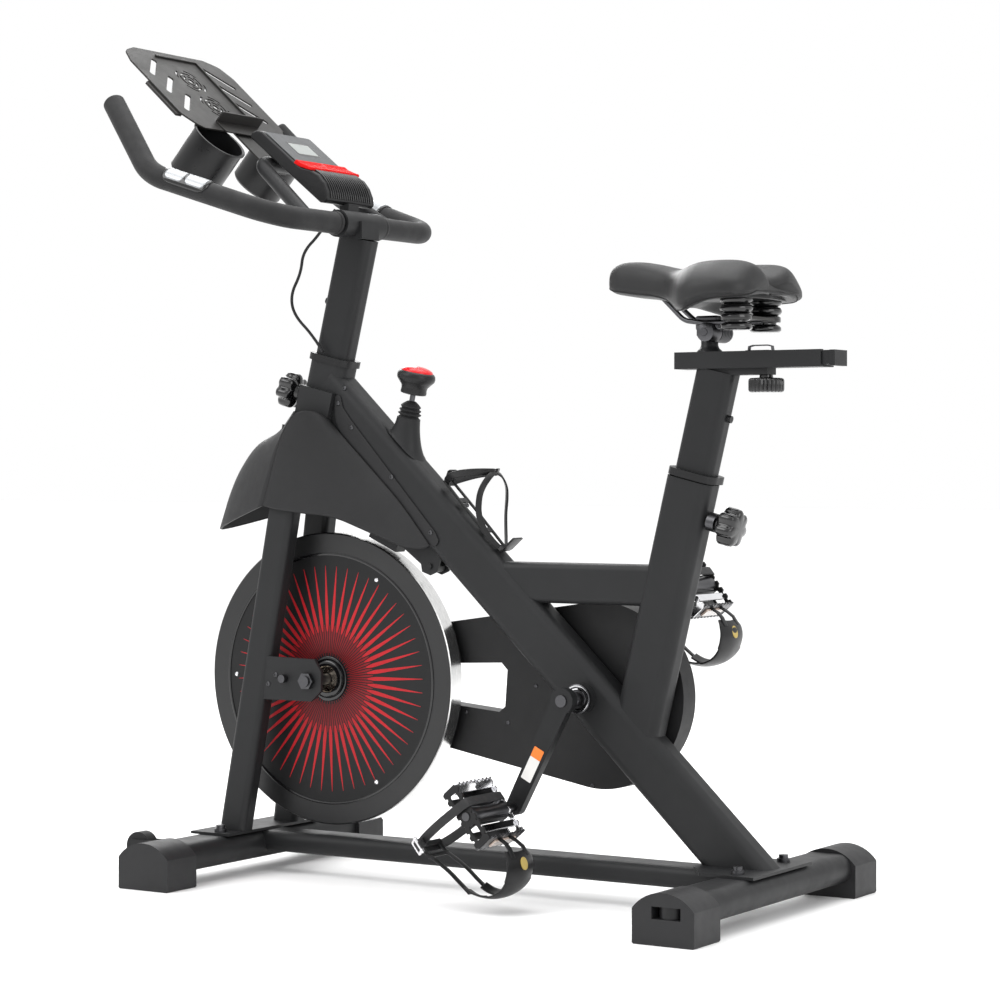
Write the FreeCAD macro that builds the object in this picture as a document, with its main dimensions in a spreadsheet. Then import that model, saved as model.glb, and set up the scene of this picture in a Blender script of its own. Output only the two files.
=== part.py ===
import FreeCAD, Part
import os, math
import Sketcher
from FreeCAD import Vector, Rotation, Placement, Matrix

os.makedirs("parts", exist_ok=True)
doc = FreeCAD.newDocument("spin_bike")
sheet = doc.addObject("Spreadsheet::Sheet", "dims")

# ------------------------------------------------------------------ sheet
DV = {}


def D(alias, value):
    """one driving dimension: a plain number in its own aliased cell (mm, degrees)"""
    if alias in DV:
        return alias
    row = len(DV) + 1
    sheet.set("A%d" % row, alias)
    sheet.set("B%d" % row, repr(round(float(value), 5)))
    sheet.setAlias("B%d" % row, alias)
    DV[alias] = round(float(value), 5)
    return alias


def val(alias):
    return DV[alias]


for name, value in {
    # layout of the bike, X along it (front -X), Z up from the floor
    "shift_along": 27.07,
    "stab_front_x": -425, "stab_rear_x": 425, "stab_z": 41,
    "bb_x": 161, "bb_z": 285, "crank_len": 170,
    "hub_x": -280.4, "hub_z": 293.2,
    "head_tilt": 13.7, "seat_tilt": 13.6, "diag_tilt": 43.77,
    # section sizes of the frame tubes
    "stab_w": 76, "stab_d": 42, "stab_r": 20, "stab_len": 408,
    "base_w": 31, "base_d": 60, "base_r": 13, "base_len": 800,
    "diag_w": 74, "diag_d": 50, "diag_r": 16, "diag_len": 998,
    "head_w": 66, "head_d": 45, "head_r": 15, "head_len": 205.9,
    "seat_w": 70, "seat_d": 45, "seat_r": 15, "seat_len": 385,
    "top_w": 57, "top_d": 40, "top_r": 10, "top_len": 275,
    "leg_w": 45, "leg_d": 30, "leg_r": 9, "leg_len": 620,
    "wall": 2.5, "wall_thin": 2.0,
    # telescoping posts
    "post_w": 58, "post_d": 35, "post_r": 12, "bar_post_len": 302, "seat_post_len": 300,
    "collar_w": 74, "collar_d": 51, "collar_r": 18, "collar_h": 10, "fit": 0.3,
    # flywheel
    "fly_r": 216.2, "fly_half": 15.4, "rim_r": 184, "web_half": 4, "hub_r": 32, "axle_r": 8,
    "cover_t": 1.5, "small_pulley_r": 27, "big_pulley_r": 108, "belt_t": 4, "belt_w": 14,
    # cranks and pedals
    "spindle_r": 8.5, "pedal_pin_r": 6, "arm_t": 14,
    "shell_r": 20, "shell_bore": 10,
    # bars
    "bar_r": 16, "loop_r": 11, "bar_wall": 1.6,
    "cup_r": 41, "cup_h": 75, "cup_wall": 2,
    # small controls
    "knob_r": 22, "knob_h": 30, "pin_r": 5, "brake_rod_r": 4,
    "wheel_r": 22, "wheel_w": 19.4,
}.items():
    D(name, value)

XS = val("shift_along")


def V(x, y, z):
    return Vector(x + XS, y, z)


def axes_rot(x, y, z):
    return Rotation(Matrix(x.x, y.x, z.x, 0, x.y, y.y, z.y, 0, x.z, y.z, z.z, 0, 0, 0, 0, 1))


def along(z):
    """rotation whose local z is the given direction, local y as near +Y as it can be"""
    z = Vector(z).normalize()
    x = Vector(0, 1, 0).cross(z)
    if x.Length < 1e-6:
        x = Vector(1, 0, 0)
    x.normalize()
    return axes_rot(x, z.cross(x), z)


FLAT = Rotation()
SIDE = Rotation(Vector(1, 0, 0), 90)     # sketch x -> X, sketch y -> Z, pad towards -Y


def sc(deg):
    return math.sin(math.radians(deg)), math.cos(math.radians(deg))


hs, hc = sc(val("head_tilt"))
ss, cs_ = sc(val("seat_tilt"))
ds, dc = sc(val("diag_tilt"))
HT, HF = Vector(hs, 0, hc), Vector(-hc, 0, hs)
ST, SR = Vector(ss, 0, cs_), Vector(cs_, 0, -ss)
DG, DN = Vector(dc, 0, -ds), Vector(ds, 0, dc)


def head_x(z):
    return -287 + (z - 736) * hs / hc


def seat_x(z):
    return 323 + (z - 585) * ss / cs_


# ------------------------------------------------------------------ helpers
KEEP = {}
count = [0]


def uid(p):
    count[0] += 1
    return "%s_%03d" % (p, count[0])


def keep(label, obj):
    obj.Label = label
    KEEP[label] = obj
    return obj


def body(label, base, rot):
    b = doc.addObject("PartDesign::Body", uid("Body"))
    b.Label = label
    b.Placement = Placement(V(*base), rot)
    return b


def plane(b, role="XY_Plane"):
    for f in b.Origin.OriginFeatures:
        if f.Role == role:
            return f
    raise RuntimeError("no plane")


def sketch(b, lift=0.0, role="XY_Plane"):
    s = b.newObject("Sketcher::SketchObject", uid("Sketch"))
    s.AttachmentSupport = [(plane(b, role), "")]
    s.MapMode = "FlatFace"
    if lift:
        s.AttachmentOffset = Placement(Vector(0, 0, lift), Rotation())
    return s


def dim(s, con, expr):
    k = s.addConstraint(con)
    if expr:
        s.setExpression("Constraints[%d]" % k, expr)
    return k


def circle(s, expr, r, cx=0.0, cy=0.0):
    g = s.addGeometry(Part.Circle(Vector(cx, cy, 0), Vector(0, 0, 1), r), False)
    dim(s, Sketcher.Constraint("Radius", g, r), expr)
    if abs(cx) < 1e-9 and abs(cy) < 1e-9:
        s.addConstraint(Sketcher.Constraint("Coincident", g, 3, -1, 1))
    else:
        s.addConstraint(Sketcher.Constraint("DistanceX", -1, 1, g, 3, cx))
        s.addConstraint(Sketcher.Constraint("DistanceY", -1, 1, g, 3, cy))
    return g


def rrect(s, we, w, he, h_, re_, r):
    """rounded rectangle about the sketch origin; expressions give w, h and r"""
    cx, cy = w / 2.0 - r, h_ / 2.0 - r
    z = Vector(0, 0, 1)
    quads = [(1, 1, 0), (-1, 1, 90), (-1, -1, 180), (1, -1, 270)]
    arcs = []
    for sx, sy, a0 in quads:
        c = Part.Circle(Vector(sx * cx, sy * cy, 0), z, r)
        arcs.append(s.addGeometry(Part.ArcOfCircle(c, math.radians(a0), math.radians(a0 + 90)), False))
    lines = []
    for i in range(4):
        j = (i + 1) % 4
        p = s.getPoint(arcs[i], 2)
        q = s.getPoint(arcs[j], 1)
        lines.append(s.addGeometry(Part.LineSegment(p, q), False))
    for i, (sx, sy, a0) in enumerate(quads):
        dim(s, Sketcher.Constraint("DistanceX", -1, 1, arcs[i], 3, sx * cx),
            "%s((%s)/2-(%s))" % ("-" if sx < 0 else "", we, re_))
        dim(s, Sketcher.Constraint("DistanceY", -1, 1, arcs[i], 3, sy * cy),
            "%s((%s)/2-(%s))" % ("-" if sy < 0 else "", he, re_))
        dim(s, Sketcher.Constraint("Radius", arcs[i], r), re_)
        first, second = ("Horizontal", "Vertical") if i % 2 == 0 else ("Vertical", "Horizontal")
        s.addConstraint(Sketcher.Constraint(first, arcs[i], 3, arcs[i], 1))
        s.addConstraint(Sketcher.Constraint(second, arcs[i], 3, arcs[i], 2))
        j = (i + 1) % 4
        s.addConstraint(Sketcher.Constraint("Coincident", arcs[i], 2, lines[i], 1))
        s.addConstraint(Sketcher.Constraint("Coincident", lines[i], 2, arcs[j], 1))


def outline(s, name, pts):
    """closed outline; each entry is (x, y) or (x, y, bulge_x, bulge_y): an arc to that
    point through the bulge point.  Every corner sits on two cells of the sheet."""
    n = len(pts)
    ids = []
    s.Label = name + "_outline"
    for i in range(n):
        a, b = pts[i], pts[(i + 1) % n]
        p, q = Vector(a[0], a[1], 0), Vector(b[0], b[1], 0)
        if len(b) == 4:
            arc = Part.Arc(p, Vector(b[2], b[3], 0), q)
            g = s.addGeometry(arc, False)
            fwd = (s.getPoint(g, 1) - p).Length < 1e-4
            ids.append((g, 1, 2) if fwd else (g, 2, 1))
            s.addConstraint(Sketcher.Constraint("Radius", g, s.Geometry[g].Radius))
        else:
            g = s.addGeometry(Part.LineSegment(p, q), False)
            ids.append((g, 1, 2))
    for i in range(n):
        g, st, en = ids[i]
        g2, st2, en2 = ids[(i + 1) % n]
        s.addConstraint(Sketcher.Constraint("Coincident", g, en, g2, st2))
        ax, ay = D("%s_p%dx" % (name, i), pts[i][0]), D("%s_p%dz" % (name, i), pts[i][1])
        dim(s, Sketcher.Constraint("DistanceX", -1, 1, g, st, val(ax)), "dims." + ax)
        dim(s, Sketcher.Constraint("DistanceY", -1, 1, g, st, val(ay)), "dims." + ay)


def pad(b, s, alias):
    p = b.newObject("PartDesign::Pad", uid("Pad"))
    p.Profile = s
    p.Length = val(alias)
    p.setExpression("Length", "dims." + alias)
    s.Visibility = False
    return p


def pocket(b, s, alias, up=True):
    """cut; up=True removes material on the +normal side of the sketch"""
    p = b.newObject("PartDesign::Pocket", uid("Pocket"))
    p.Profile = s
    p.Length = val(alias)
    p.setExpression("Length", "dims." + alias)
    p.Reversed = bool(up)
    s.Visibility = False
    return p


def tube(label, w, d, r, t, length, base, rot, lift=0.0):
    """hollow rounded-rectangle tube; t None makes it solid"""
    b = body(label, base, rot)
    s = sketch(b, lift)
    rrect(s, "dims." + w, val(w), "dims." + d, val(d), "dims." + r, val(r))
    if t:
        tv = val(t)
        rrect(s, "dims.%s-2*dims.%s" % (w, t), val(w) - 2 * tv,
              "dims.%s-2*dims.%s" % (d, t), val(d) - 2 * tv,
              "dims.%s-dims.%s" % (r, t), val(r) - tv)
    pad(b, s, length)
    return b


def profile_pad(label, name, pts, alias, base, rot, holes=()):
    """an outline and round holes padded by the sheet's length"""
    b = body(label, base, rot)
    s = sketch(b)
    outline(s, name, pts)
    for (hx, hy, hr) in holes:
        circle(s, None, hr, hx, hy)
    pad(b, s, alias)
    return b


def revolve(label, name, pts, base, rot):
    """outline in the sketch's x (radius) and y (height), turned about the sketch's y.
    The body's local y is therefore the axis of the piece."""
    b = body(label, base, rot)
    s = sketch(b)
    outline(s, name, pts)
    r = b.newObject("PartDesign::Revolution", uid("Rev"))
    r.Profile = s
    r.ReferenceAxis = (s, ["V_Axis"])
    r.Angle = 360
    s.Visibility = False
    return b


def turned(z):
    """rotation that puts a revolve()'s axis (local y) along the given direction"""
    z = Vector(z).normalize()
    h_ = Vector(0, 1, 0) if abs(z.y) < 0.9 else Vector(1, 0, 0)
    x = h_.cross(z).normalize()
    return axes_rot(x, z, x.cross(z))


def cyl(label, ralias, halias, base, z, lift=0.0):
    c = doc.addObject("Part::Cylinder", uid("Cyl"))
    c.Label = label
    c.Radius = val(ralias)
    c.Height = val(halias)
    c.setExpression("Radius", "dims." + ralias)
    c.setExpression("Height", "dims." + halias)
    z = Vector(z).normalize()
    c.Placement = Placement(V(*base) + z * lift, Rotation(Vector(0, 0, 1), z))
    return c


def C(label, r, h_, base, z, lift=0.0):
    """cylinder with its own two cells"""
    k = len(DV)
    return cyl(label, D("%s_r_n%d" % (label, k), r), D("%s_h_n%d" % (label, k), h_), base, z, lift)


def B(label, size, corner, rot=None):
    """box with its own three cells; corner is its least corner"""
    k = len(DV)
    b = doc.addObject("Part::Box", uid("Box"))
    b.Label = label
    for prop, v, c in zip(("Length", "Width", "Height"), size, "xyz"):
        a = D("%s_%s_n%d" % (label, c, k), v)
        setattr(b, prop, v)
        b.setExpression(prop, "dims." + a)
    b.Placement = Placement(V(*corner), rot or Rotation())
    return b


def fuse(label, items):
    f = doc.addObject("Part::MultiFuse", uid("Fuse"))
    f.Label = label
    f.Shapes = list(items)
    return f


def group(label, items):
    f = doc.addObject("Part::Compound", uid("Group"))
    f.Label = label
    f.Links = list(items)
    return f


def cut(label, base, tools):
    t = tools[0] if len(tools) == 1 else fuse(label + "_tools", tools)
    c = doc.addObject("Part::Cut", uid("Cut"))
    c.Label = label
    c.Base = base
    c.Tool = t
    return c


def solid_feature(label, shape):
    f = doc.addObject("Part::Feature", uid("Feat"))
    f.Label = label
    f.Shape = shape
    f.Placement = Placement(Vector(0, 0, 0), Rotation())
    return f


# ------------------------------------------------------------------ floor frame
FSX, RSX, SZ = val("stab_front_x"), val("stab_rear_x"), val("stab_z")
YDIR = Vector(0, 1, 0)
keep("front_stabilizer", tube("front_stabilizer", "stab_w", "stab_d", "stab_r", "wall", "stab_len",
                              (FSX, -204, SZ), along(YDIR)))
keep("rear_stabilizer", tube("rear_stabilizer", "stab_w", "stab_d", "stab_r", "wall", "stab_len",
                             (RSX, -204, SZ), along(YDIR)))
env_fs = tube("front_stabilizer_envelope", "stab_w", "stab_d", "stab_r", None, "stab_len", (FSX, -204, SZ), along(YDIR))
env_rs = tube("rear_stabilizer_envelope", "stab_w", "stab_d", "stab_r", None, "stab_len", (RSX, -204, SZ), along(YDIR))

cap_pts = [(-45, 2), (-43, 0), (43, 0), (45, 2), (45, 46), (-45, 46, 0, 68)]
D("cap_front_len", 66)
D("cap_rear_len", 71)
caps = []
for fx, la, yo in ((FSX, "cap_front_len", 270), (RSX, "cap_rear_len", 275)):
    for side, y0 in (("left", -204), ("right", yo)):
        c = profile_pad("cap_blank", "cap", cap_pts, la, (fx, y0, 0), SIDE)
        if fx > 0:
            ys = -275 if side == "left" else 235
            c = cut("cap_with_window", c, [B("cap_window", (42, 40, 16), (RSX - 16.5, ys, 34))])
        caps.append(c)
keep("foot_caps", group("foot_caps", caps))
for side, yc in (("left", -255), ("right", 255)):
    keep("level_wheel_" + side, C("level_wheel", 18, 15.4, (RSX + 4.5, yc, 34.3), (0, 0, 1)))

# transport wheels on small brackets at the front
WX, WZ = -491, 50
brs = []
for side, sg in (("left", -1), ("right", 1)):
    lo = -203.5 if sg < 0 else 177.5
    thick_lo, thick_hi = (2.5, 3) if sg < 0 else (3, 2.5)
    parts_ = [B("bracket_cheek_a", (40, thick_lo, 22), (-503, lo, 39)),
              B("bracket_cheek_b", (40, thick_hi, 22), (-503, lo + 26 - thick_hi, 39)),
              B("bracket_back", (3.2, 26, 22), (-466.2, lo, 30.5)),
              C("bracket_pin", 4, 26, (WX, lo, WZ), (0, 1, 0))]
    brs.append(fuse("wheel_bracket_" + side, parts_))
    b = body("transport_wheel_" + side, (WX, lo + thick_lo + 0.4, WZ), along(YDIR))
    s = sketch(b)
    circle(s, "dims.wheel_r", val("wheel_r"))
    circle(s, "dims.bracket_bore", val(D("bracket_bore", 4.08)))
    pad(b, s, "wheel_w")
    keep("transport_wheel_" + side, b)
keep("wheel_brackets", group("wheel_brackets", brs))

base0 = tube("base_tube_blank", "base_w", "base_d", "base_r", "wall", "base_len", (-400, 0, 46.5), along((1, 0, 0)))
keep("base_tube", cut("base_tube", base0, [env_fs, env_rs]))

# ------------------------------------------------------------------ main tubes
diag_start = (-290.6, 0, 722.9)
seat_start = (231, 0, 215)
head_start = (head_x(560), 0, 560)
env_diag = tube("diagonal_envelope", "diag_w", "diag_d", "diag_r", None, "diag_len", diag_start, along(DG))
env_seat = tube("seat_tube_envelope", "seat_w", "seat_d", "seat_r", None, "seat_len", seat_start, along(ST))
env_head = tube("head_tube_envelope", "head_w", "head_d", "head_r", None, "head_len", head_start, along(HT))
below = B("below_plate", (400, 120, 120), (200, -60, -54))
BBX, BBZ = val("bb_x"), val("bb_z")
env_shell = C("shell_envelope", 20, 71, (BBX, -40, BBZ), YDIR)
BRK = Vector(0.2139, 0, 0.9769)           # direction of the brake rod


def brk_x(z):
    return -155 + (z - 646) * BRK.x / BRK.z


rod_hole = C("rod_hole", 7, 170, (brk_x(540), 0, 540), BRK)
diag0 = tube("diagonal_blank", "diag_w", "diag_d", "diag_r", "wall", "diag_len", diag_start, along(DG))
keep("diagonal_tube", cut("diagonal_tube", diag0, [env_head, below, env_shell, rod_hole]))

# knob stations on the head tube and on the seat tube
HK = Vector(head_x(705), 0, 705)          # centre of the head tube at the knob
SK = Vector(seat_x(541), 0, 541)
head_hole = C("head_pin_hole", 5.6, 30, (HK.x, 0, HK.z), HF, 20)
head0 = tube("head_blank", "head_w", "head_d", "head_r", "wall_thin", "head_len", head_start, along(HT))
keep("head_tube", cut("head_tube", head0, [head_hole]))
seat_hole = C("seat_pin_hole", 5.6, 30, (SK.x, 0, SK.z), SR, 20)
seat0 = tube("seat_blank", "seat_w", "seat_d", "seat_r", "wall_thin", "seat_len", seat_start, along(ST))
keep("seat_tube", cut("seat_tube", seat0, [env_diag, seat_hole]))
top0 = tube("top_blank", "top_w", "top_d", "top_r", "wall_thin", "top_len", (10, 0, 443.5), along((1, 0, 0)))
keep("top_tube", cut("top_tube", top0, [env_diag, env_seat]))

# fork legs lean inwards to the crown plates on the head tube
plate_z = 66.0
legs, env_legs, crowns = [], [], []
for side, sg in (("left", -1), ("right", 1)):
    p0, p1 = Vector(-414.4, sg * 66, 66), Vector(-307, sg * 37.6, 736)
    z = (p1 - p0).normalize()
    st_ = p0 - z * 12
    foot_cut = B("leg_foot_cut", (200, 80, 60), (-500, sg * 66 - 40, 6))
    crown = B("crown_block", (60, 12, 128), (0, 0, 0))
    crown.Placement = Placement(V(head_x(604) - 30, (22.5 if sg > 0 else -34.5), 604), along(HT))
    crowns.append(crown)
    lb = tube("leg_blank_" + side, "leg_w", "leg_d", "leg_r", "wall_thin", "leg_len", (st_.x, st_.y, st_.z), along(z))
    le = tube("leg_env_" + side, "leg_w", "leg_d", "leg_r", None, "leg_len", (st_.x, st_.y, st_.z), along(z))
    env_legs.append(le)
    legs.append((side, lb, foot_cut))
leg_cuts = [cut("fork_leg_" + side_, lb_, [fc_, env_head, crowns[i_]]) for i_, (side_, lb_, fc_) in enumerate(legs)]
keep("fork_legs", group("fork_legs", leg_cuts + [cut("crown_l", crowns[0], [env_diag, env_head]), cut("crown_r", crowns[1], [env_diag, env_head])]))

# plates: two on the stabilizers, two dropouts on the legs
HX, HZ = val("hub_x"), val("hub_z")
D("plate_t", 4)
fp = profile_pad("front_plate", "fplate", [(-37, -114), (33, -114), (33, 114), (-37, 114)], "plate_t", (FSX, 0, 62), FLAT)
rp = profile_pad("rear_plate", "rplate", [(-87, -30), (-48, -88), (33, -88), (33, 88), (-48, 88), (-87, 30)],
                 "plate_t", (RSX, 0, 62), FLAT)
drop_pts = [(-92, -30), (6, -30), (24, -14), (24, 14), (12, 32), (-92, 34)]
D("drop_t", 5)
d1 = cut("dropout_left", profile_pad("drop_l", "drop", drop_pts, "drop_t", (HX, -64, HZ), SIDE, [(0, 0, 8)]), [env_legs[0]])
d2 = cut("dropout_right", profile_pad("drop_r", "drop", drop_pts, "drop_t", (HX, 69, HZ), SIDE, [(0, 0, 8)]), [env_legs[1]])
keep("weld_plates", group("weld_plates", [fp, rp, d1, d2]))

# flywheel axle, its nuts and the two tension adjusters
ax = C("axle_rod", 8, 158, (HX, -79, HZ), YDIR)
nuts = []
for y0 in (-76, 69):
    nb = doc.addObject("Part::Prism", uid("Nut"))
    nb.Label = "axle_nut"
    nb.Polygon = 6
    nb.Circumradius = 13
    nb.setExpression("Circumradius", "dims." + D("axle_nut_circum", 13))
    nb.Height = 7
    nb.setExpression("Height", "dims." + D("axle_nut_height", 7))
    nb.Placement = Placement(V(HX, y0, HZ), Rotation(Vector(0, 0, 1), YDIR))
    nuts.append(nb)
adj = [C("adjuster", 6, 9, (-322, y0, HZ + 2), YDIR) for y0 in (-78, 69)]
keep("wheel_axle", group("wheel_axle", [fuse("axle_with_nuts", [ax] + nuts)] + adj))

# bottom-bracket shell with its two bearing cups in one turned piece
shell = revolve("bb_shell", "shell", [(8.58, 0), (17.5, 0), (17.5, 4), (20, 4), (20, 71), (8.58, 71)],
                (BBX, -40, BBZ), turned(YDIR))
keep("bb_shell", shell)

# ------------------------------------------------------------------ fasteners and bosses
fast = []
for bx, by in ((FSX + 6, -98), (FSX + 6, 98), (RSX, -68), (RSX, 68)):
    fast.append(fuse("dome_bolt", [C("bolt_head", 9, 5, (bx, by, 66), (0, 0, 1)), C("bolt_dome", 6.5, 10, (bx, by, 66), (0, 0, 1))]))
head_boss = cut("head_boss", C("boss", 13, 12, (HK.x, 0, HK.z), HF, 33), [C("boss_bore", 5.2, 30, (HK.x, 0, HK.z), HF, 20)])
seat_boss = cut("seat_boss", C("boss", 13, 12, (SK.x, 0, SK.z), SR, 35), [C("boss_bore", 5.2, 30, (SK.x, 0, SK.z), SR, 20)])
fast += [head_boss, seat_boss]
keep("frame_fasteners", group("frame_fasteners", fast))

# collars on the two telescoping joints
cols = []
for zz, xf, dr in ((760, head_x, HT), (590.6, seat_x, ST)):
    b = body("collar", (xf(zz + 0.08), 0, zz + 0.08), along(dr))
    s = sketch(b)
    rrect(s, "dims.collar_w", val("collar_w"), "dims.collar_d", val("collar_d"), "dims.collar_r", val("collar_r"))
    rrect(s, "dims.post_w+2*dims.fit", val("post_w") + 2 * val("fit"), "dims.post_d+2*dims.fit", val("post_d") + 2 * val("fit"),
          "dims.post_r+dims.fit", val("post_r") + val("fit"))
    pad(b, s, "collar_h")
    cols.append(b)
keep("post_collars", group("post_collars", cols))

# ------------------------------------------------------------------ posts
bp_z = 650.0
bar_post = tube("handlebar_post", "post_w", "post_d", "post_r", "wall_thin", "bar_post_len", (head_x(bp_z), 0, bp_z), along(HT))
keep("handlebar_post", fuse("handlebar_post", [bar_post, C("bar_stop", 5, 7, (head_x(845), 0, 845), HF, 28)]))
sp_z = 446.0
seat_post = tube("seat_post", "post_w", "post_d", "post_r", "wall_thin", "seat_post_len", (seat_x(sp_z), 0, sp_z), along(ST))
keep("seat_post", cut("seat_post", fuse("seat_post_all", [seat_post, C("seat_stop", 5, 7, (seat_x(679), 0, 679), SR, 28)]), [B("post_trim", (200, 80, 60), (280, -40, 742.2))]))

# ------------------------------------------------------------------ flywheel
keep("flywheel", revolve("flywheel", "fly", [
    (8.06, -15.4), (32, -15.4), (32, -4), (184, -4), (184, -15.4), (214, -15.4), (216.2, -13.2), (216.2, 13.2),
    (214, 15.4), (184, 15.4), (184, 4), (32, 4), (32, 15.4), (8.06, 15.4)], (HX, 0, HZ), turned(YDIR)))
cov = []
for y0 in (-15.4, 13.9):
    b = body("cover", (HX, y0, HZ), along(YDIR))
    s = sketch(b)
    circle(s, "dims.rim_r", val("rim_r"))
    circle(s, "dims.hub_r", val("hub_r"))
    pad(b, s, "cover_t")
    cov.append(b)
keep("flywheel_covers", group("flywheel_covers", cov))
keep("flywheel_pulley", revolve("flywheel_pulley", "spul", [
    (8.06, 15.4), (16, 15.4), (16, 33), (30, 33), (30, 35), (27, 35), (27, 51), (30, 51), (30, 53), (8.06, 53)],
    (HX, 0, HZ), turned(YDIR)))

# ------------------------------------------------------------------ cranks
CL = val("crank_len")
ua = Vector(-77.7, 0, -151.2).normalize()
PL = Vector(BBX, 0, BBZ) + ua * CL
PR = Vector(BBX, 0, BBZ) - ua * CL
sp = [C("crank_axle", 8.5, 172, (BBX, -86, BBZ), YDIR),
      C("pedal_pin_left", 6, 122, (PL.x, -206, PL.z), YDIR),
      C("pedal_pin_right", 6, 122, (PR.x, 84, PR.z), YDIR)]
keep("spindles", group("spindles", sp))
D("eye_big", 18)
D("eye_small", 14)
arms = []
for side, y0, cen, sgn in (("left", -70, PL, 1), ("right", 84, PR, -1)):
    b = body("crank_arm_" + side, (BBX, y0, BBZ), axes_rot(ua * -sgn, (Vector(0, 1, 0)).cross(ua * -sgn) * -1, Vector(0, -1, 0)))
    # tapered arm in the body's frame: the boss is at the origin, local x points to the boss from the eye
    s = sketch(b)
    outline(s, "arm", [(0, -15), (0, 15), (-CL, 12.5), (-CL, -12.5, -CL - 11, 0)])
    pad(b, s, "arm_t")
    holes = [C("spindle_hole", 8.5, 60, (BBX, y0 - 40, BBZ), YDIR), C("pin_hole", 6, 60, (cen.x, y0 - 40, cen.z), YDIR)]
    boss = C("crank_boss", 18, 14, (BBX, y0 - 14, BBZ), YDIR)
    arms.append(cut("crank_arm_" + side, fuse("arm_with_boss", [b, boss]), holes))
keep("crank_arms", group("crank_arms", arms))
keep("drive_pulley", revolve("drive_pulley", "bpul", [
    (8.5, 34), (22, 34), (22, 40), (96, 40), (96, 34), (108, 34), (108, 52), (96, 52), (96, 45), (22, 45), (22, 52), (8.5, 52)],
    (BBX, 0, BBZ), turned(YDIR)))


def two_circle_face(c1, r1, c2, r2, y):
    """flat face in the XZ plane at y, bounded by two circles and their outer tangents"""
    d = (c2 - c1)
    L = d.Length
    a = math.atan2(d.z, d.x)
    b = math.acos((r1 - r2) / L)
    P = lambda c, r, t: Vector(c.x + r * math.cos(t), y, c.z + r * math.sin(t))
    p1u, p2u = P(c1, r1, a + b), P(c2, r2, a + b)
    p1d, p2d = P(c1, r1, a - b), P(c2, r2, a - b)
    e = [Part.LineSegment(p1u, p2u), Part.Arc(p2u, P(c2, r2, a), p2d), Part.LineSegment(p2d, p1d),
         Part.Arc(p1d, P(c1, r1, a + math.pi), p1u)]
    return Part.Face(Part.Wire([x.toShape() for x in e]))


BBv, HUv = V(BBX, 0, BBZ), V(HX, 0, HZ)


def ribbon(r1, r2, y0, y1):
    return two_circle_face(BBv, r1, HUv, r2, y0).extrude(Vector(0, y1 - y0, 0))


bt, bw = val("belt_t"), val("belt_w")
bin_, sin_ = val("big_pulley_r") + 0.3, val("small_pulley_r") + 0.3
keep("drive_belt", solid_feature("drive_belt", ribbon(bin_ + bt, sin_ + bt, 36, 36 + bw).cut(ribbon(bin_, sin_, 35, 37 + bw))))
win = [(-184, 270), (-184, 317), (-4, 325), (6, 315), (2, 262), (-8, 254)]


def prism(pts, y0, y1):
    w = [V(x, y0, z) for x, z in pts]
    return Part.Face(Part.makePolygon(w + [w[0]])).extrude(Vector(0, y1 - y0, 0))


def grow(pts, g):
    cx = sum(p[0] for p in pts) / len(pts)
    cz = sum(p[1] for p in pts) / len(pts)
    out = []
    for x, z in pts:
        out.append((x + g * (1 if x > cx else -1), z + g * (1 if z > cz else -1)))
    return out


gr, gf, gw = 132.0, 60.0, 2.5
inner_plate = ribbon(gr, gf, 25, 28).cut(prism(win, 20, 35))
inner_plate = inner_plate.cut(Part.makeCylinder(20, 20, V(BBX, 20, BBZ), YDIR)).cut(Part.makeCylinder(18, 20, V(HX, 20, HZ), YDIR))
keep("belt_guard_inner", solid_feature("belt_guard_inner", inner_plate))
outer = ribbon(gr, gf, 28, 60).cut(ribbon(gr - gw, gf - gw, 20, 60 - gw).cut(prism(grow(win, gw), 18, 62)))
outer = outer.cut(prism(win, 20, 65))
outer = outer.cut(Part.makeCylinder(11, 20, V(BBX, 50, BBZ), YDIR)).cut(Part.makeCylinder(9, 20, V(HX, 50, HZ), YDIR))
keep("belt_guard_outer", solid_feature("belt_guard_outer", outer))

# ------------------------------------------------------------------ pedals
fdir = Vector(0.6225, 0, -0.7826)
ndir = Vector(-0.7826, 0, -0.6225)
prot = axes_rot(fdir, Vector(0, -1, 0), ndir)     # local x toe, local z over the foot


def ploc(c, sg, f, y, n):
    """point in a pedal's frame; y counts outwards from the bike's middle"""
    return (c.x + fdir.x * f + ndir.x * n, sg * y, c.z + fdir.z * f + ndir.z * n)


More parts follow.
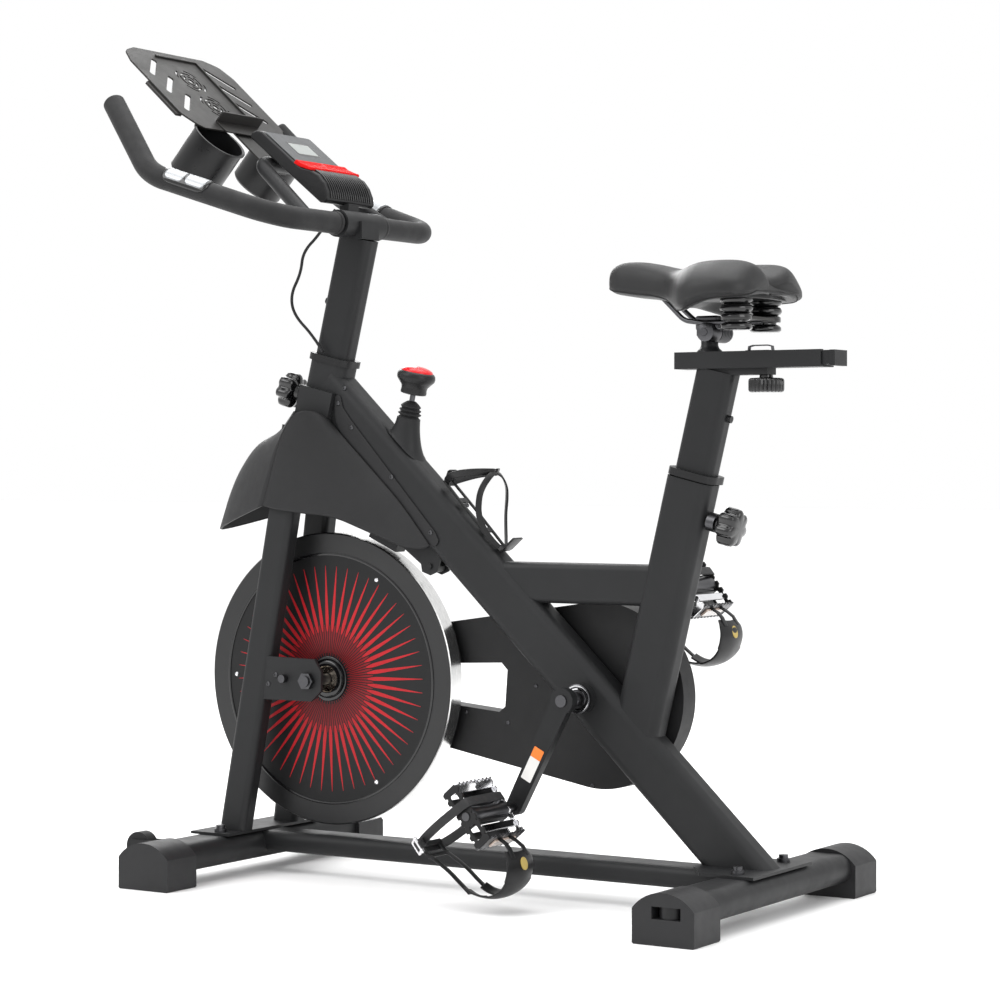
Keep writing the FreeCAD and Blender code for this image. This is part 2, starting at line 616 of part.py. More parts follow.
D("pedal_w", 88)
for side, c, sg in (("left", PL, -1), ("right", PR, 1)):
    yb = 204.0 if sg < 0 else 116.0
    b = body("pedal_blank", ploc(c, sg, 0, yb, 0), prot)
    # side profile drawn in toe/over-foot axes and padded outwards across the pedal
    b.Placement = Placement(V(*ploc(c, sg, 0, yb, 0)), axes_rot(fdir, ndir, fdir.cross(ndir)))
    s = sketch(b)
    outline(s, "pedal", [(-46, -9), (-40, -13), (40, -13), (46, -9), (46, 9), (40, 13), (-40, 13), (-46, 9)])
    circle(s, "dims." + D("pedal_bore", 6.08), 6.08)
    pad(b, s, "pedal_w")
    cuts = []
    for fa, fb in ((-38, -13), (13, 38)):
        w = doc.addObject("Part::Box", uid("Box"))
        w.Label = "pedal_window"
        for prop, v_, nm in (("Length", fb - fa, "pedal_window_l"), ("Width", 76, "pedal_window_w"), ("Height", 40, "pedal_window_h")):
            setattr(w, prop, v_)
            w.setExpression(prop, "dims." + D(nm, v_))
        w.Placement = Placement(V(*ploc(c, sg, fa, 198 if sg > 0 else 122, -20)), axes_rot(fdir, Vector(0, -1, 0), ndir))
        cuts.append(w)
    keep("pedal_" + side, cut("pedal_" + side, b, cuts))
    # toe clip: a bent band that starts under the pedal's front edge and curls over the toe
    outer_p = [(38, -13), (70, -21), (98, -18), (112, -4), (114, 20), (106, 44), (92, 64), (70, 78)]
    inner_p = [(68, 74.5), (89, 61.5), (102.5, 42.5), (110, 19), (108, -2.5), (96, -14.5), (70, -17.5), (46, -11), (46, -9), (40, -13)]
    D("clip_w", 52)
    cb = body("clip", ploc(c, sg, 0, 186 if sg < 0 else 134, 0), axes_rot(fdir, ndir, fdir.cross(ndir)))
    s = sketch(cb)
    outline(s, "clip", outer_p + inner_p)
    pad(cb, s, "clip_w")
    # strap: a loop across the foot, plain and shut
    D("strap_w", 20)
    sb = body("strap", ploc(c, sg, 12, 160, 0), axes_rot(Vector(0, -1, 0), ndir, Vector(0, -1, 0).cross(ndir)))
    s = sketch(sb)
    outline(s, "strap", [(-47, -4), (-44.2, -4), (-44.2, 44), (44.2, 44, 0, 80), (44.2, -4), (47, -4), (47, 44), (-47, 44, 0, 83)])
    pad(sb, s, "strap_w")
    keep("toe_clip_" + side, group("toe_clip_" + side, [cb, sb]))

# ------------------------------------------------------------------ handlebar assembly


def bent_wire(points, radii):
    """straight runs joined by tangent arcs"""
    edges, cur = [], points[0]
    for i in range(1, len(points) - 1):
        p, q, n = points[i - 1], points[i], points[i + 1]
        a, b = (p - q).normalize(), (n - q).normalize()
        half = math.acos(max(-1, min(1, a.dot(b)))) / 2
        t = radii[i - 1] / math.tan(half)
        s0, s1 = q + a * t, q + b * t
        bis = (a + b).normalize()
        mid = q + bis * (radii[i - 1] / math.sin(half) - radii[i - 1])
        edges.append(Part.LineSegment(cur, s0).toShape())
        edges.append(Part.Arc(s0, mid, s1).toShape())
        cur = s1
    edges.append(Part.LineSegment(cur, points[-1]).toShape())
    return Part.Wire(edges)


def pipe(wire, r):
    e = wire.Edges[0]
    d = (e.valueAt(e.LastParameter) - e.valueAt(e.FirstParameter)).normalize()
    p = e.valueAt(e.FirstParameter)
    prof = Part.Wire([Part.Circle(p, d, r).toShape()])
    return wire.makePipeShell([prof], True, False)


br, lr, bwall = val("bar_r"), val("loop_r"), val("bar_wall")
half_pts = [V(-240, -200, 962), V(-436, -239, 1028), V(-534, -200, 1139)]
bar_pts = [half_pts[2], half_pts[1], half_pts[0]] + [Vector(p.x, -p.y, p.z) for p in half_pts]
bar_wire = bent_wire(bar_pts, [70, 60, 60, 70])
bar_out = pipe(bar_wire, br)
bar_in = pipe(bar_wire, br - bwall)
bar = bar_out.cut(bar_in)
# closed plugs in the two tips
tipdir = (bar_pts[0] - bar_pts[1]).normalize()
tips = []
for p, q in ((bar_pts[0], bar_pts[1]), (bar_pts[-1], bar_pts[-2])):
    d_ = (p - q).normalize()
    tips.append(Part.makeCylinder(br, 4, p, d_))
bar = bar.fuse(tips).removeSplitter()
keep("handlebar", solid_feature("handlebar", bar))

loop_pts = [V(-242, -108, 957), V(-378, -56, 1058), V(-378, 56, 1058), V(-242, 108, 957)]
loop_wire = bent_wire(loop_pts, [34, 34])
loop = pipe(loop_wire, lr).cut(pipe(loop_wire, lr - bwall)).cut(bar_out)
loop = max(loop.Solids, key=lambda s_: s_.Volume)
keep("inner_bar", solid_feature("inner_bar", loop))

# clamp: lower saddle on the post and upper strap over the bar
cross = C("crossbar_env", 16, 200, (-240, -100, 962), YDIR)
saddle_blk = B("clamp_saddle", (40, 44, 26), (-256, -22, 940))
post_top = B("clamp_trim", (120, 80, 30), (0, 0, 0))
post_top.Placement = Placement(V(head_x(bp_z), 0, bp_z) + HT * (val("bar_post_len") - 30) + Vector(0, 0, 0), along(HT))
post_top.Placement = Placement(post_top.Placement.Base + post_top.Placement.Rotation.multVec(Vector(-60, -40, 0)), post_top.Placement.Rotation)
cap_ring = cut("clamp_ring", C("clamp_ring_o", 20, 100, (-240, -50, 962), YDIR), [C("clamp_ring_i", 16, 100, (-240, -50, 962), YDIR)])
stem = B("console_stem", (16, 26, 24), (-262, -13, 970))

# console: a thin wedge on the two runs of the inner bar
con_pts = [(-392, 1095.2), (-388, 1103), (-372, 1104.5), (-291, 1038.5), (-276, 1037, ), (-259, 1026), (-250, 1006), (-254, 992), (-262, 991.2)]
D("con_w", 120)
con = profile_pad("console_housing", "console", con_pts, "con_w", (0, 60, 0), SIDE)
con_dir = Vector(-0.7754, 0, 0.6315)
con_n = Vector(0.6315, 0, 0.7754)
btn_c = Vector(-303, 0, 1048.3)
keep("bar_clamp", cut("bar_clamp", fuse("clamp_all", [saddle_blk, C("clamp_ring_s", 20, 100, (-240, -50, 962), YDIR), stem]), [cross, post_top, con]))
btn_hole = C("button_hole", 7.2, 12, (btn_c.x, 0, btn_c.z), con_n, -6)
loops_env = solid_feature("inner_bar_envelope", pipe(loop_wire, lr + 0.02))
face_pts = [(0, -52), (66, -52), (66, 52), (0, 52)]
D("face_t", 1.2)
keep("console_housing", cut("console_housing", con, [btn_hole, loops_env]))
cf = profile_pad("console_face_blank", "cface", face_pts, "face_t", (-299, 0, 1045.0), axes_rot(con_dir, Vector(0, -1, 0), con_dir.cross(Vector(0, -1, 0))))
# the face plate lies 0.05 above the sloping top
zf = con_dir.cross(Vector(0, -1, 0))
cf.Placement = Placement(V(-299, 0, 1045.02) + con_n * 0.06, cf.Placement.Rotation)
keep("console_face", cut("console_face", cf, [btn_hole]))
keep("mode_button", C("mode_button", 6.9, 9, (btn_c.x, 0, btn_c.z), con_n, -4.5))

# tablet plate with slots
tl = Vector(-0.743, 0, 0.669).normalize()
tn = tl.cross(Vector(0, -1, 0)) * 1
if tn.z < 0:
    tn = tn * -1
trot = axes_rot(tl.cross(tn), tl, tn)
plate_pts = [(-112, 8), (-100, 0), (100, 0), (112, 8), (124, 28), (131, 31), (131, 110), (125, 116), (125, 158), (84, 198, 113, 186), (-84, 198), (-125, 158, -113, 186), (-125, 116), (-131, 110), (-131, 31), (-124, 28)]
D("tplate_t", 2.5)
tb = body("tablet_plate_blank", (-449, 0, 1108), trot)
s = sketch(tb)
outline(s, "tplate", plate_pts)
for cx_, cy_ in ((-10, 128), (-10, 64)):
    circle(s, None, 9, cx_, cy_)
pad(tb, s, "tplate_t")
slots = []
for lx, ly in ((80, 150), (80, 107), (78, 64)):
    for sg in (-1, 1):
        w = B("plate_slot", (62, 10, 12), (0, 0, 0))
        wr = trot.multiply(Rotation(Vector(0, 0, 1), -45 * sg))
        w.Placement = Placement(V(-449, 0, 1108) + trot.multVec(Vector(sg * lx, ly, -5)) + wr.multVec(Vector(-31, -5, 0)), wr)
        slots.append(w)
ribs = []
for lx, ly, sx_, sy_ in ((-48, 181, 101, 3), (50, 40, 3, 141)):
    w = B("plate_rib", (sx_, sy_, 3.5), (0, 0, 0))
    w.Placement = Placement(V(-449, 0, 1108) + trot.multVec(Vector(lx, ly, 2.5)), trot)
    ribs.append(w)
tray = B("tray_lip", (104, 3, 22), (0, 0, 0))
tray.Placement = Placement(V(-449, 0, 1108) + trot.multVec(Vector(-50, 20, 2.5)), trot)
stay = B("tray_stay", (40, 106, 3), (0, 0, 0))
stay.Placement = Placement(V(-449, 0, 1108) + trot.multVec(Vector(-20, -94, -3)), trot)
cup_clear = [C("cup_clearance", 44, 30, (-434.2, sg * 77, 1094.2), tn, -15) for sg in (-1, 1)]
keep("tablet_plate", cut("tablet_plate", fuse("plate_all", [tb, tray, stay] + ribs), slots + cup_clear + [loops_env]))

# cup holders: round cups hung square to the plate, each with a rim
cups = []
for sg in (-1, 1):
    c0 = V(-434.2, sg * 77, 1094.2)
    b = doc.addObject("PartDesign::Body", uid("Body"))
    b.Label = "cup"
    b.Placement = Placement(c0, turned(tn * -1))
    s = sketch(b)
    outline(s, "cup", [(0, 75), (0, 73), (37.5, 73), (39, 71), (39, 1), (41.5, 0), (43.5, 0.6), (43.5, 2.6), (41, 3), (41, 72), (38.5, 75)])
    r_ = b.newObject("PartDesign::Revolution", uid("Rev"))
    r_.Profile = s
    r_.ReferenceAxis = (s, ["V_Axis"])
    r_.Angle = 360
    cups.append(b)
keep("cup_holders", group("cup_holders", cups))

# pulse sensors: half sleeves on the forward runs
sens = []
for sg in (-1, 1):
    a_, b_ = V(-240, sg * 200, 962), V(-436, sg * 239, 1028)
    d_ = (b_ - a_).normalize()
    c_ = a_ + d_ * 112
    up = Vector(0, 0, 1)
    up = (up - d_ * up.dot(d_)).normalize()
    full = Part.makeCylinder(br + 1.2, 64, c_, d_).cut(Part.makeCylinder(br, 70, c_ - d_ * 3, d_))
    blk = Part.makeBox(200, 200, 200)
    side_ = d_.cross(up)
    m = axes_rot(side_, up, side_.cross(up))
    blk.Placement = Placement(c_ - up * 196 + m.multVec(Vector(-100, 0, -100)), m)
    sens.append(full.cut(blk))
keep("pulse_sensors", solid_feature("pulse_sensors", Part.makeCompound([x.Solids[0] for x in sens])))

# ------------------------------------------------------------------ pull pins and knobs
for nm, c0, dr, half, pw in (("head", HK, HF, 33, 29.6), ("seat", SK, SR, 35, 29.6)):
    keep(nm + "_pin", fuse(nm + "_pin", [C("pin_rod", 5, 45.0 - pw + 8, (c0.x, 0, c0.z), dr, pw),
                                          C("pin_neck", 4, 34, (c0.x, 0, c0.z), dr, 40)]))
    b = body(nm + "_knob", (c0.x, 0, c0.z), turned(dr))
    s = sketch(b)
    o = 45.6 if half == 33 else 47.6
    outline(s, nm + "kn", [(5.1, o + 8), (14, o), (16, o + 8), (22, o + 10), (23, o + 14), (23, o + 26), (20, o + 32), (0, o + 34), (0, 74.4 + 0), (5.1, 74.4)])
    r_ = b.newObject("PartDesign::Revolution", uid("Rev"))
    r_.Profile = s
    r_.ReferenceAxis = (s, ["V_Axis"])
    r_.Angle = 360
    keep(nm + "_knob", b)

# ------------------------------------------------------------------ brake
keep("brake_housing", cut("brake_housing", fuse("brake_house_blank", [
    C("brake_sleeve", 15, 62, (brk_x(620), 0, 620), BRK),
    C("boot_a", 12, 7, (brk_x(680), 0, 680), BRK), C("boot_b", 9, 9, (brk_x(686), 0, 686), BRK),
    C("boot_c", 10.5, 4, (brk_x(693), 0, 693), BRK), C("boot_d", 8, 6, (brk_x(696), 0, 696), BRK)]),
    [env_diag, C("sleeve_bore", 4.4, 200, (brk_x(600), 0, 600), BRK)]))
ARMP = Vector(-100, 0, 463)
rod_lo = 529.5
keep("brake_rod", C("brake_rod", 4, (722 - rod_lo) / BRK.z, (brk_x(rod_lo), 0, rod_lo), BRK))
keep("brake_knob", revolve("brake_knob", "bknob", [(4.05, 0), (10, 0), (12, 8), (24, 12), (27.5, 18), (27.5, 24), (22, 33), (12, 38), (0, 39), (0, 10.5), (4.05, 10.5)],
                           (brk_x(712.2), 0, 712.2), turned(BRK)))
# bracket with two cheeks and the pivot pin
ck = [(-22, 40), (-14, -8), (0, -13), (12, -8), (28, 40)]
D("cheek_t", 3)
ch = [profile_pad("cheek", "cheek", ck, "cheek_t", (ARMP.x, y0, ARMP.z), SIDE) for y0 in (-13.5, 16.5)]
keep("brake_bracket", cut("brake_bracket", fuse("bracket_all", ch + [C("pivot_pin", 4, 39, (ARMP.x, -19.5, ARMP.z), YDIR)]), [env_diag]))
rad = Vector(0.4212, 0, 0.907)
hubc = Vector(HX, 0, HZ)
tan_ = Vector(-0.907, 0, 0.4212)
pc = hubc + rad * 220.7
arm_pts = [(0, -9), (9, 0, 6.4, -6.4), (4, 9), (-79, 64.5), (-92, 62), (-94, 56), (-82, 52)]
arm_pts = [(-4.5, -7.8), (9, 0, 5.6, -7.05), (5, 7.5), (-76.5, 61.8), (-90, 60.2), (-92.5, 53), (-80, 48.5)]
D("armb_t", 24)
ab = body("arm_blank", (ARMP.x, 12, ARMP.z), SIDE)
s = sketch(ab)
outline(s, "barm", arm_pts)
circle(s, "dims." + D("arm_bore", 4.08), 4.08)
pad(ab, s, "armb_t")
padb = B("brake_pad", (52, 24, 14), (0, 0, 0))
prr = axes_rot(tan_ * -1, Vector(0, 1, 0), rad)
padb.Placement = Placement(V(pc.x, 0, pc.z) + prr.multVec(Vector(-26, -12, 0)), prr)
holder = B("pad_holder", (36, 20, 12), (0, 0, 0))
holder.Placement = Placement(V(pc.x, 0, pc.z) + prr.multVec(Vector(-18, -10, 10)), prr)
keep("brake_arm", fuse("brake_arm", [ab, padb, holder]))

# ------------------------------------------------------------------ bottle cage on the diagonal tube
# local x down the tube, local z away from it
crot = axes_rot(DG, Vector(0, 1, 0), DG.cross(Vector(0, 1, 0)))
c_base = Vector(-74, 0, 495.9 + 0.9575 * 74)


def cage_pt(x, y, z):
    return V(c_base.x, 0, c_base.z) + DG * x + Vector(0, y, 0) + DN * z


def strip(pts, w):
    """flat strip along points (x, z) of the cage frame, w wide in Y"""
    a = [cage_pt(x, -w / 2.0, z) for x, z in pts]
    return Part.Face(Part.makePolygon(a + [a[0]])).extrude(Vector(0, w, 0))


cage = strip([(0, 0.6), (122, 0.6), (122, 3.6), (0, 3.6)], 16)
arc_o = Part.makeCylinder(40, 9, cage_pt(60, 0, 41), DG).cut(Part.makeCylinder(36.5, 11, cage_pt(59, 0, 41), DG))
tabs = strip([(112, 0.6), (134, 0.6), (134, 60), (130.5, 60), (130.5, 3.6), (112, 3.6)], 18)
legs_c = []
for sg in (-1, 1):
    w1 = bent_wire([cage_pt(4, sg * 6, 3.5), cage_pt(30, sg * 37, 30), cage_pt(66, sg * 38, 52)], [25])
    legs_c.append(pipe(w1, 3))
    w2 = bent_wire([cage_pt(64, sg * 38, 40), cage_pt(110, sg * 37, 34), cage_pt(132, sg * 7, 40)], [25])
    legs_c.append(pipe(w2, 3))
cage = cage.fuse([arc_o, tabs] + legs_c).removeSplitter()
keep("bottle_cage", solid_feature("bottle_cage", cage))

# ------------------------------------------------------------------ seat carrier
rail_pts = [(-20, 740), (20, 740), (20, 763), (12, 763), (12, 760.5), (17.5, 760.5), (17.5, 742.5), (-17.5, 742.5), (-17.5, 760.5), (-12, 760.5), (-12, 763), (-20, 763)]
D("rail_len", 216)
rl = body("seat_rail", (306, 0, 0), axes_rot(Vector(0, 1, 0), Vector(0, 0, 1), Vector(1, 0, 0)))
s = sketch(rl)
outline(s, "rail", rail_pts)
pad(rl, s, "rail_len")
rfront = B("rail_front_cap", (4, 40, 23), (302, -20, 740))
bridge = B("rail_foot", (104, 26, 10), (336, -13, 731))
post_env = tube("seat_post_envelope", "post_w", "post_d", "post_r", None, "seat_post_len", (seat_x(sp_z), 0, sp_z), along(ST))
keep("seat_rail", cut("seat_rail", fuse("rail_all", [rl, rfront, bridge]), [post_env, C("clamp_hole", 4.3, 40, (432, 0, 725), (0, 0, 1))]))
sl = B("slider_core", (222, 34.4, 17.4), (318, -17.2, 742.8))
pil = C("pillar", 11, 38, (346, 0, 757), (0, 0, 1))
ecap = B("slider_end", (8, 38, 21), (534, -19, 741))
tabp = B("slider_tab", (34, 22.6, 4), (406, -11.3, 760))
clampb = fuse("slider_all", [sl, pil, ecap, tabp, B("clamp_head", (26, 30, 12), (334, -15, 785)), C("clamp_bolt", 4.5, 52, (346, -26, 788), YDIR)])
keep("seat_slider", clampb)
kb = body("slider_knob", (432, 0, 0), turned((0, 0, 1)))
s = sketch(kb)
outline(s, "tknob", [(0, 707), (22, 707), (24, 710), (24, 722), (20, 727), (9, 727), (9, 730.4), (4.2, 730.4), (4.2, 742.2), (0, 742.2)])
r_ = kb.newObject("PartDesign::Revolution", uid("Rev"))
r_.Profile = s
r_.ReferenceAxis = (s, ["V_Axis"])
r_.Angle = 360
keep("slider_knob", kb)

# ------------------------------------------------------------------ saddle
# cushion: lofted sections across the bike, wide at the back and a narrow nose
secs = [(194, 12, 853, 868), (203, 22, 847, 880), (234, 27, 846, 889.5), (276, 30, 845, 884), (304, 42, 838, 880),
        (330, 74, 829, 882), (360, 99, 830, 886), (392, 105, 834, 886), (420, 96, 839, 880), (438, 76, 846, 872)]
wires = []
for x, w, zl, zh in secs:
    h2 = (zh - zl)
    pts = []
    for k in range(24):
        t = 2 * math.pi * k / 24
        cx_ = math.copysign(abs(math.cos(t)) ** 0.75, math.cos(t))
        sy_ = math.copysign(abs(math.sin(t)) ** 0.75, math.sin(t))
        pts.append(V(x, w * cx_, zl + h2 / 2 + h2 / 2 * sy_))
    bs = Part.BSplineCurve()
    bs.interpolate(pts, PeriodicFlag=True)
    wires.append(Part.Wire([bs.toShape()]))
cush = Part.makeLoft(wires, True, False)
keep("saddle_cushion", solid_feature("saddle_cushion", cush))
# under-frame: base pan, two rubber springs and two rails with the clamp block
pan = B("saddle_pan", (110, 124, 4), (352, -62, 0))
fr = []
for sg in (-1, 1):
    fr += [Part.makeCylinder(22, 12, V(405, sg * 36, 790), Vector(0, 0, 1)),
           Part.makeCylinder(18, 50, V(405, sg * 36, 792), Vector(0, 0, 1)),
           Part.makeCylinder(22, 12, V(405, sg * 36, 805), Vector(0, 0, 1)),
           Part.makeCylinder(22, 12, V(405, sg * 36, 820), Vector(0, 0, 1))]
    rw = bent_wire([V(405, sg * 22, 789), V(330, sg * 22, 800), V(300, sg * 12, 812), V(262, sg * 10, 850)], [30, 20])
    fr.append(pipe(rw, 3.5))
fr.append(Part.makeBox(50, 96, 5, V(384, -48, 785)))
und = fr[0].fuse(fr[1:]).cut(cush).removeSplitter()
doc.removeObject(pan.Name)
keep("saddle_frame", solid_feature("saddle_frame", und))

# ------------------------------------------------------------------ fender
A_ = [(-290, 682), (-345, 668), (-402, 640), (-450, 568), (-468, 518), (-375, 545), (-295, 537)]


def poly_wire(pts, y):
    w = [V(x, y, z) for x, z in pts]
    return Part.makePolygon(w + [w[0]])


full_o = [(-232, 660), (-70, 499), (-76, 491), (-110, 489), (-210, 521), (-300, 537), (-375, 545), (-468, 518), (-450, 568), (-402, 640), (-345, 668), (-290, 684), (-252, 679)]
cen_o = prism(full_o, -28, 28)
cen_i = prism([(-234, 700), (-40, 506), (-40, 400), (-464, 400), (-464, 518), (-446.5, 567), (-400, 636.5), (-344, 665), (-290, 681), (-252, 676.5)], -25.3, 25.3)
Wo = [(-290, 682), (-402, 640), (-450, 568), (-468, 518), (-375, 545), (-295, 537)]
Bo = [(-318, 625), (-376, 626), (-416, 566), (-437, 517), (-366, 546), (-312, 541)]
Wi = [(-293, 678), (-399.5, 636), (-446, 566.5), (-464, 500), (-375, 500), (-298, 500)]
Bi = [(-320.5, 621), (-374, 621.5), (-412.5, 564.5), (-433, 500), (-366, 500), (-315, 500)]
fen = cen_o
inn = cen_i
for sg in (-1, 1):
    lo_ = Part.makeLoft([poly_wire(Wo, sg * 28), poly_wire(Bo, sg * 72)], True, True)
    li_ = Part.makeLoft([poly_wire(Wi, sg * 25), poly_wire(Bi, sg * 69)], True, True)
    fen = fen.fuse(lo_)
    inn = inn.fuse(li_)
fen = fen.cut(inn)


def swept_tube(start, direction, rot_, w, d, length):
    bx = Part.makeBox(w, d, length, Vector(-w / 2.0, -d / 2.0, 0))
    bx.Placement = Placement(V(*start), rot_)
    return bx


fen = fen.cut(swept_tube(head_start, HT, along(HT), 66.6, 45.6, 220))
fen = fen.cut(swept_tube(diag_start, DG, along(DG), 74.6, 50.6, 998))
for sg, cr in ((-1, 0), (1, 1)):
    p0, p1 = Vector(-414.4, sg * 66, 66), Vector(-307, sg * 37.6, 736)
    z = (p1 - p0).normalize()
    st_ = p0 - z * 12
    fen = fen.cut(swept_tube((st_.x, st_.y, st_.z), z, along(z), 45.6, 30.6, 640))
    cbx = Part.makeBox(60.6, 12.6, 130, Vector(-0.3, -0.3, -1))
    cbx.Placement = Placement(V(head_x(604) - 30, (22.5 if sg > 0 else -34.5), 604), along(HT))
    fen = fen.cut(cbx)
fen_sol = sorted(fen.Solids, key=lambda s_: -s_.Volume)
print("fender solids", [round(s_.Volume) for s_ in fen_sol])
fen_keep = [s_ for s_ in fen_sol if s_.Volume > 2500]
keep("fender", solid_feature("fender", Part.makeCompound(fen_keep) if len(fen_keep) > 1 else fen_keep[0]))

# ------------------------------------------------------------------ sensor cable
cab = [V(-258, -30, 984), V(-285, -30, 950), V(-318, -28, 925), V(-322, -28, 893), V(-341, -28, 862), V(-335, -28, 832), V(-300, -27, 800), V(-283, -26.5, 776)]
rr = []
for i in range(1, len(cab) - 1):
    a, b = (cab[i - 1] - cab[i]), (cab[i + 1] - cab[i])
    turn = math.pi - math.acos(a.normalize().dot(b.normalize()))
    L_ = min((cab[i - 1] - cab[i]).Length, (cab[i + 1] - cab[i]).Length)
    rr.append(0.45 * L_ / math.tan(turn / 2))
print("cable radii", [round(x, 1) for x in rr])
cw = bent_wire(cab, rr)
cable = pipe(cw, 2.2)
print("cable volume ratio", cable.Volume / (math.pi * 2.2 ** 2 * cw.Length), "length", round(cw.Length, 1))
keep("sensor_cable", solid_feature("sensor_cable", cable))

# ------------------------------------------------------------------ check and write
doc.recompute()
bad = []
for o in doc.Objects:
    if any(f in ("Invalid", "Error") for f in o.State):
        bad.append((o.Name, o.Label, o.State))
if bad:
    raise RuntimeError("failed objects: %s" % bad[:12])
xs, ys, zs = [], [], []
for label, obj in KEEP.items():
    sh = obj.Shape
    if sh.isNull() or not sh.isValid():
        raise RuntimeError("bad shape: " + label)
    bb = sh.BoundBox
    xs += [bb.XMin, bb.XMax]
    ys += [bb.YMin, bb.YMax]
    zs += [bb.ZMin, bb.ZMax]
    print("%-20s solids %d vol %.0f  X %.1f %.1f Y %.1f %.1f Z %.1f %.1f" % (
        label, len(sh.Solids), sh.Volume, bb.XMin, bb.XMax, bb.YMin, bb.YMax, bb.ZMin, bb.ZMax))
print("nodes", len(KEEP), "box", min(xs), max(xs), min(ys), max(ys), min(zs), max(zs), "centre x", (min(xs) + max(xs)) / 2)
for label, obj in KEEP.items():
    obj.Shape.exportStep("parts/%s.step" % label)
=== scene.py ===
import bpy, bmesh, math, random
from mathutils import Vector, Matrix, Quaternion


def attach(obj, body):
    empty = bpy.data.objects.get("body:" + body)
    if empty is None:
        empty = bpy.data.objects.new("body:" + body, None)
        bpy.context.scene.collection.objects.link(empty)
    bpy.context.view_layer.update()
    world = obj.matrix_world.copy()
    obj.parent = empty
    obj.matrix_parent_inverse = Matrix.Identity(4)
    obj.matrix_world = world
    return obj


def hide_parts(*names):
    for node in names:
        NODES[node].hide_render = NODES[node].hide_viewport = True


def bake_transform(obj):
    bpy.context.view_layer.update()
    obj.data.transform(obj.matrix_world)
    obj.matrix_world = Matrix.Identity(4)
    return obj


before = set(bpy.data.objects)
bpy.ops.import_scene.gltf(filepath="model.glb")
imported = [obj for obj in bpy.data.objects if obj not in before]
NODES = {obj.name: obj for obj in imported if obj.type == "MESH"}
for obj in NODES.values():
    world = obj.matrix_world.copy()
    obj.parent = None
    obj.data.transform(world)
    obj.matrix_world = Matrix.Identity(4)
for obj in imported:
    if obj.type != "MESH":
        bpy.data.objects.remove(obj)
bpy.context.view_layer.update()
S = bpy.context.scene
COL = S.collection
XS = 27.07
random.seed(7)


def W(x, y, z):
    """point given in mm in the bike's own layout"""
    return Vector(((x + XS) / 1000.0, y / 1000.0, z / 1000.0))


def dirv(x, y, z):
    return Vector((x, y, z)).normalized()


def sc(d):
    return math.sin(math.radians(d)), math.cos(math.radians(d))


hs, hc = sc(13.7)
ss, cs = sc(13.6)
ds, dc = sc(43.77)
HT, HF = dirv(hs, 0, hc), dirv(-hc, 0, hs)
ST, SR = dirv(ss, 0, cs), dirv(cs, 0, -ss)
DG, DN = dirv(dc, 0, -ds), dirv(ds, 0, dc)
BRK = dirv(0.2139, 0, 0.9769)
YD = Vector((0, 1, 0))
ZD = Vector((0, 0, 1))


def head_x(z):
    return -287 + (z - 736) * hs / hc


def seat_x(z):
    return 323 + (z - 585) * ss / cs


def brk_x(z):
    return -155 + (z - 646) * BRK.x / BRK.z


BB = (161.0, 285.0)
HUB = (-280.4, 293.2)
_u = Vector((-77.7, 0, -151.2)).normalized()
PL = (BB[0] + 170 * _u.x, BB[1] + 170 * _u.z)
PR = (BB[0] - 170 * _u.x, BB[1] - 170 * _u.z)
FD = dirv(0.6225, 0, -0.7826)
ND = dirv(-0.7826, 0, -0.6225)

# =================================================================== materials


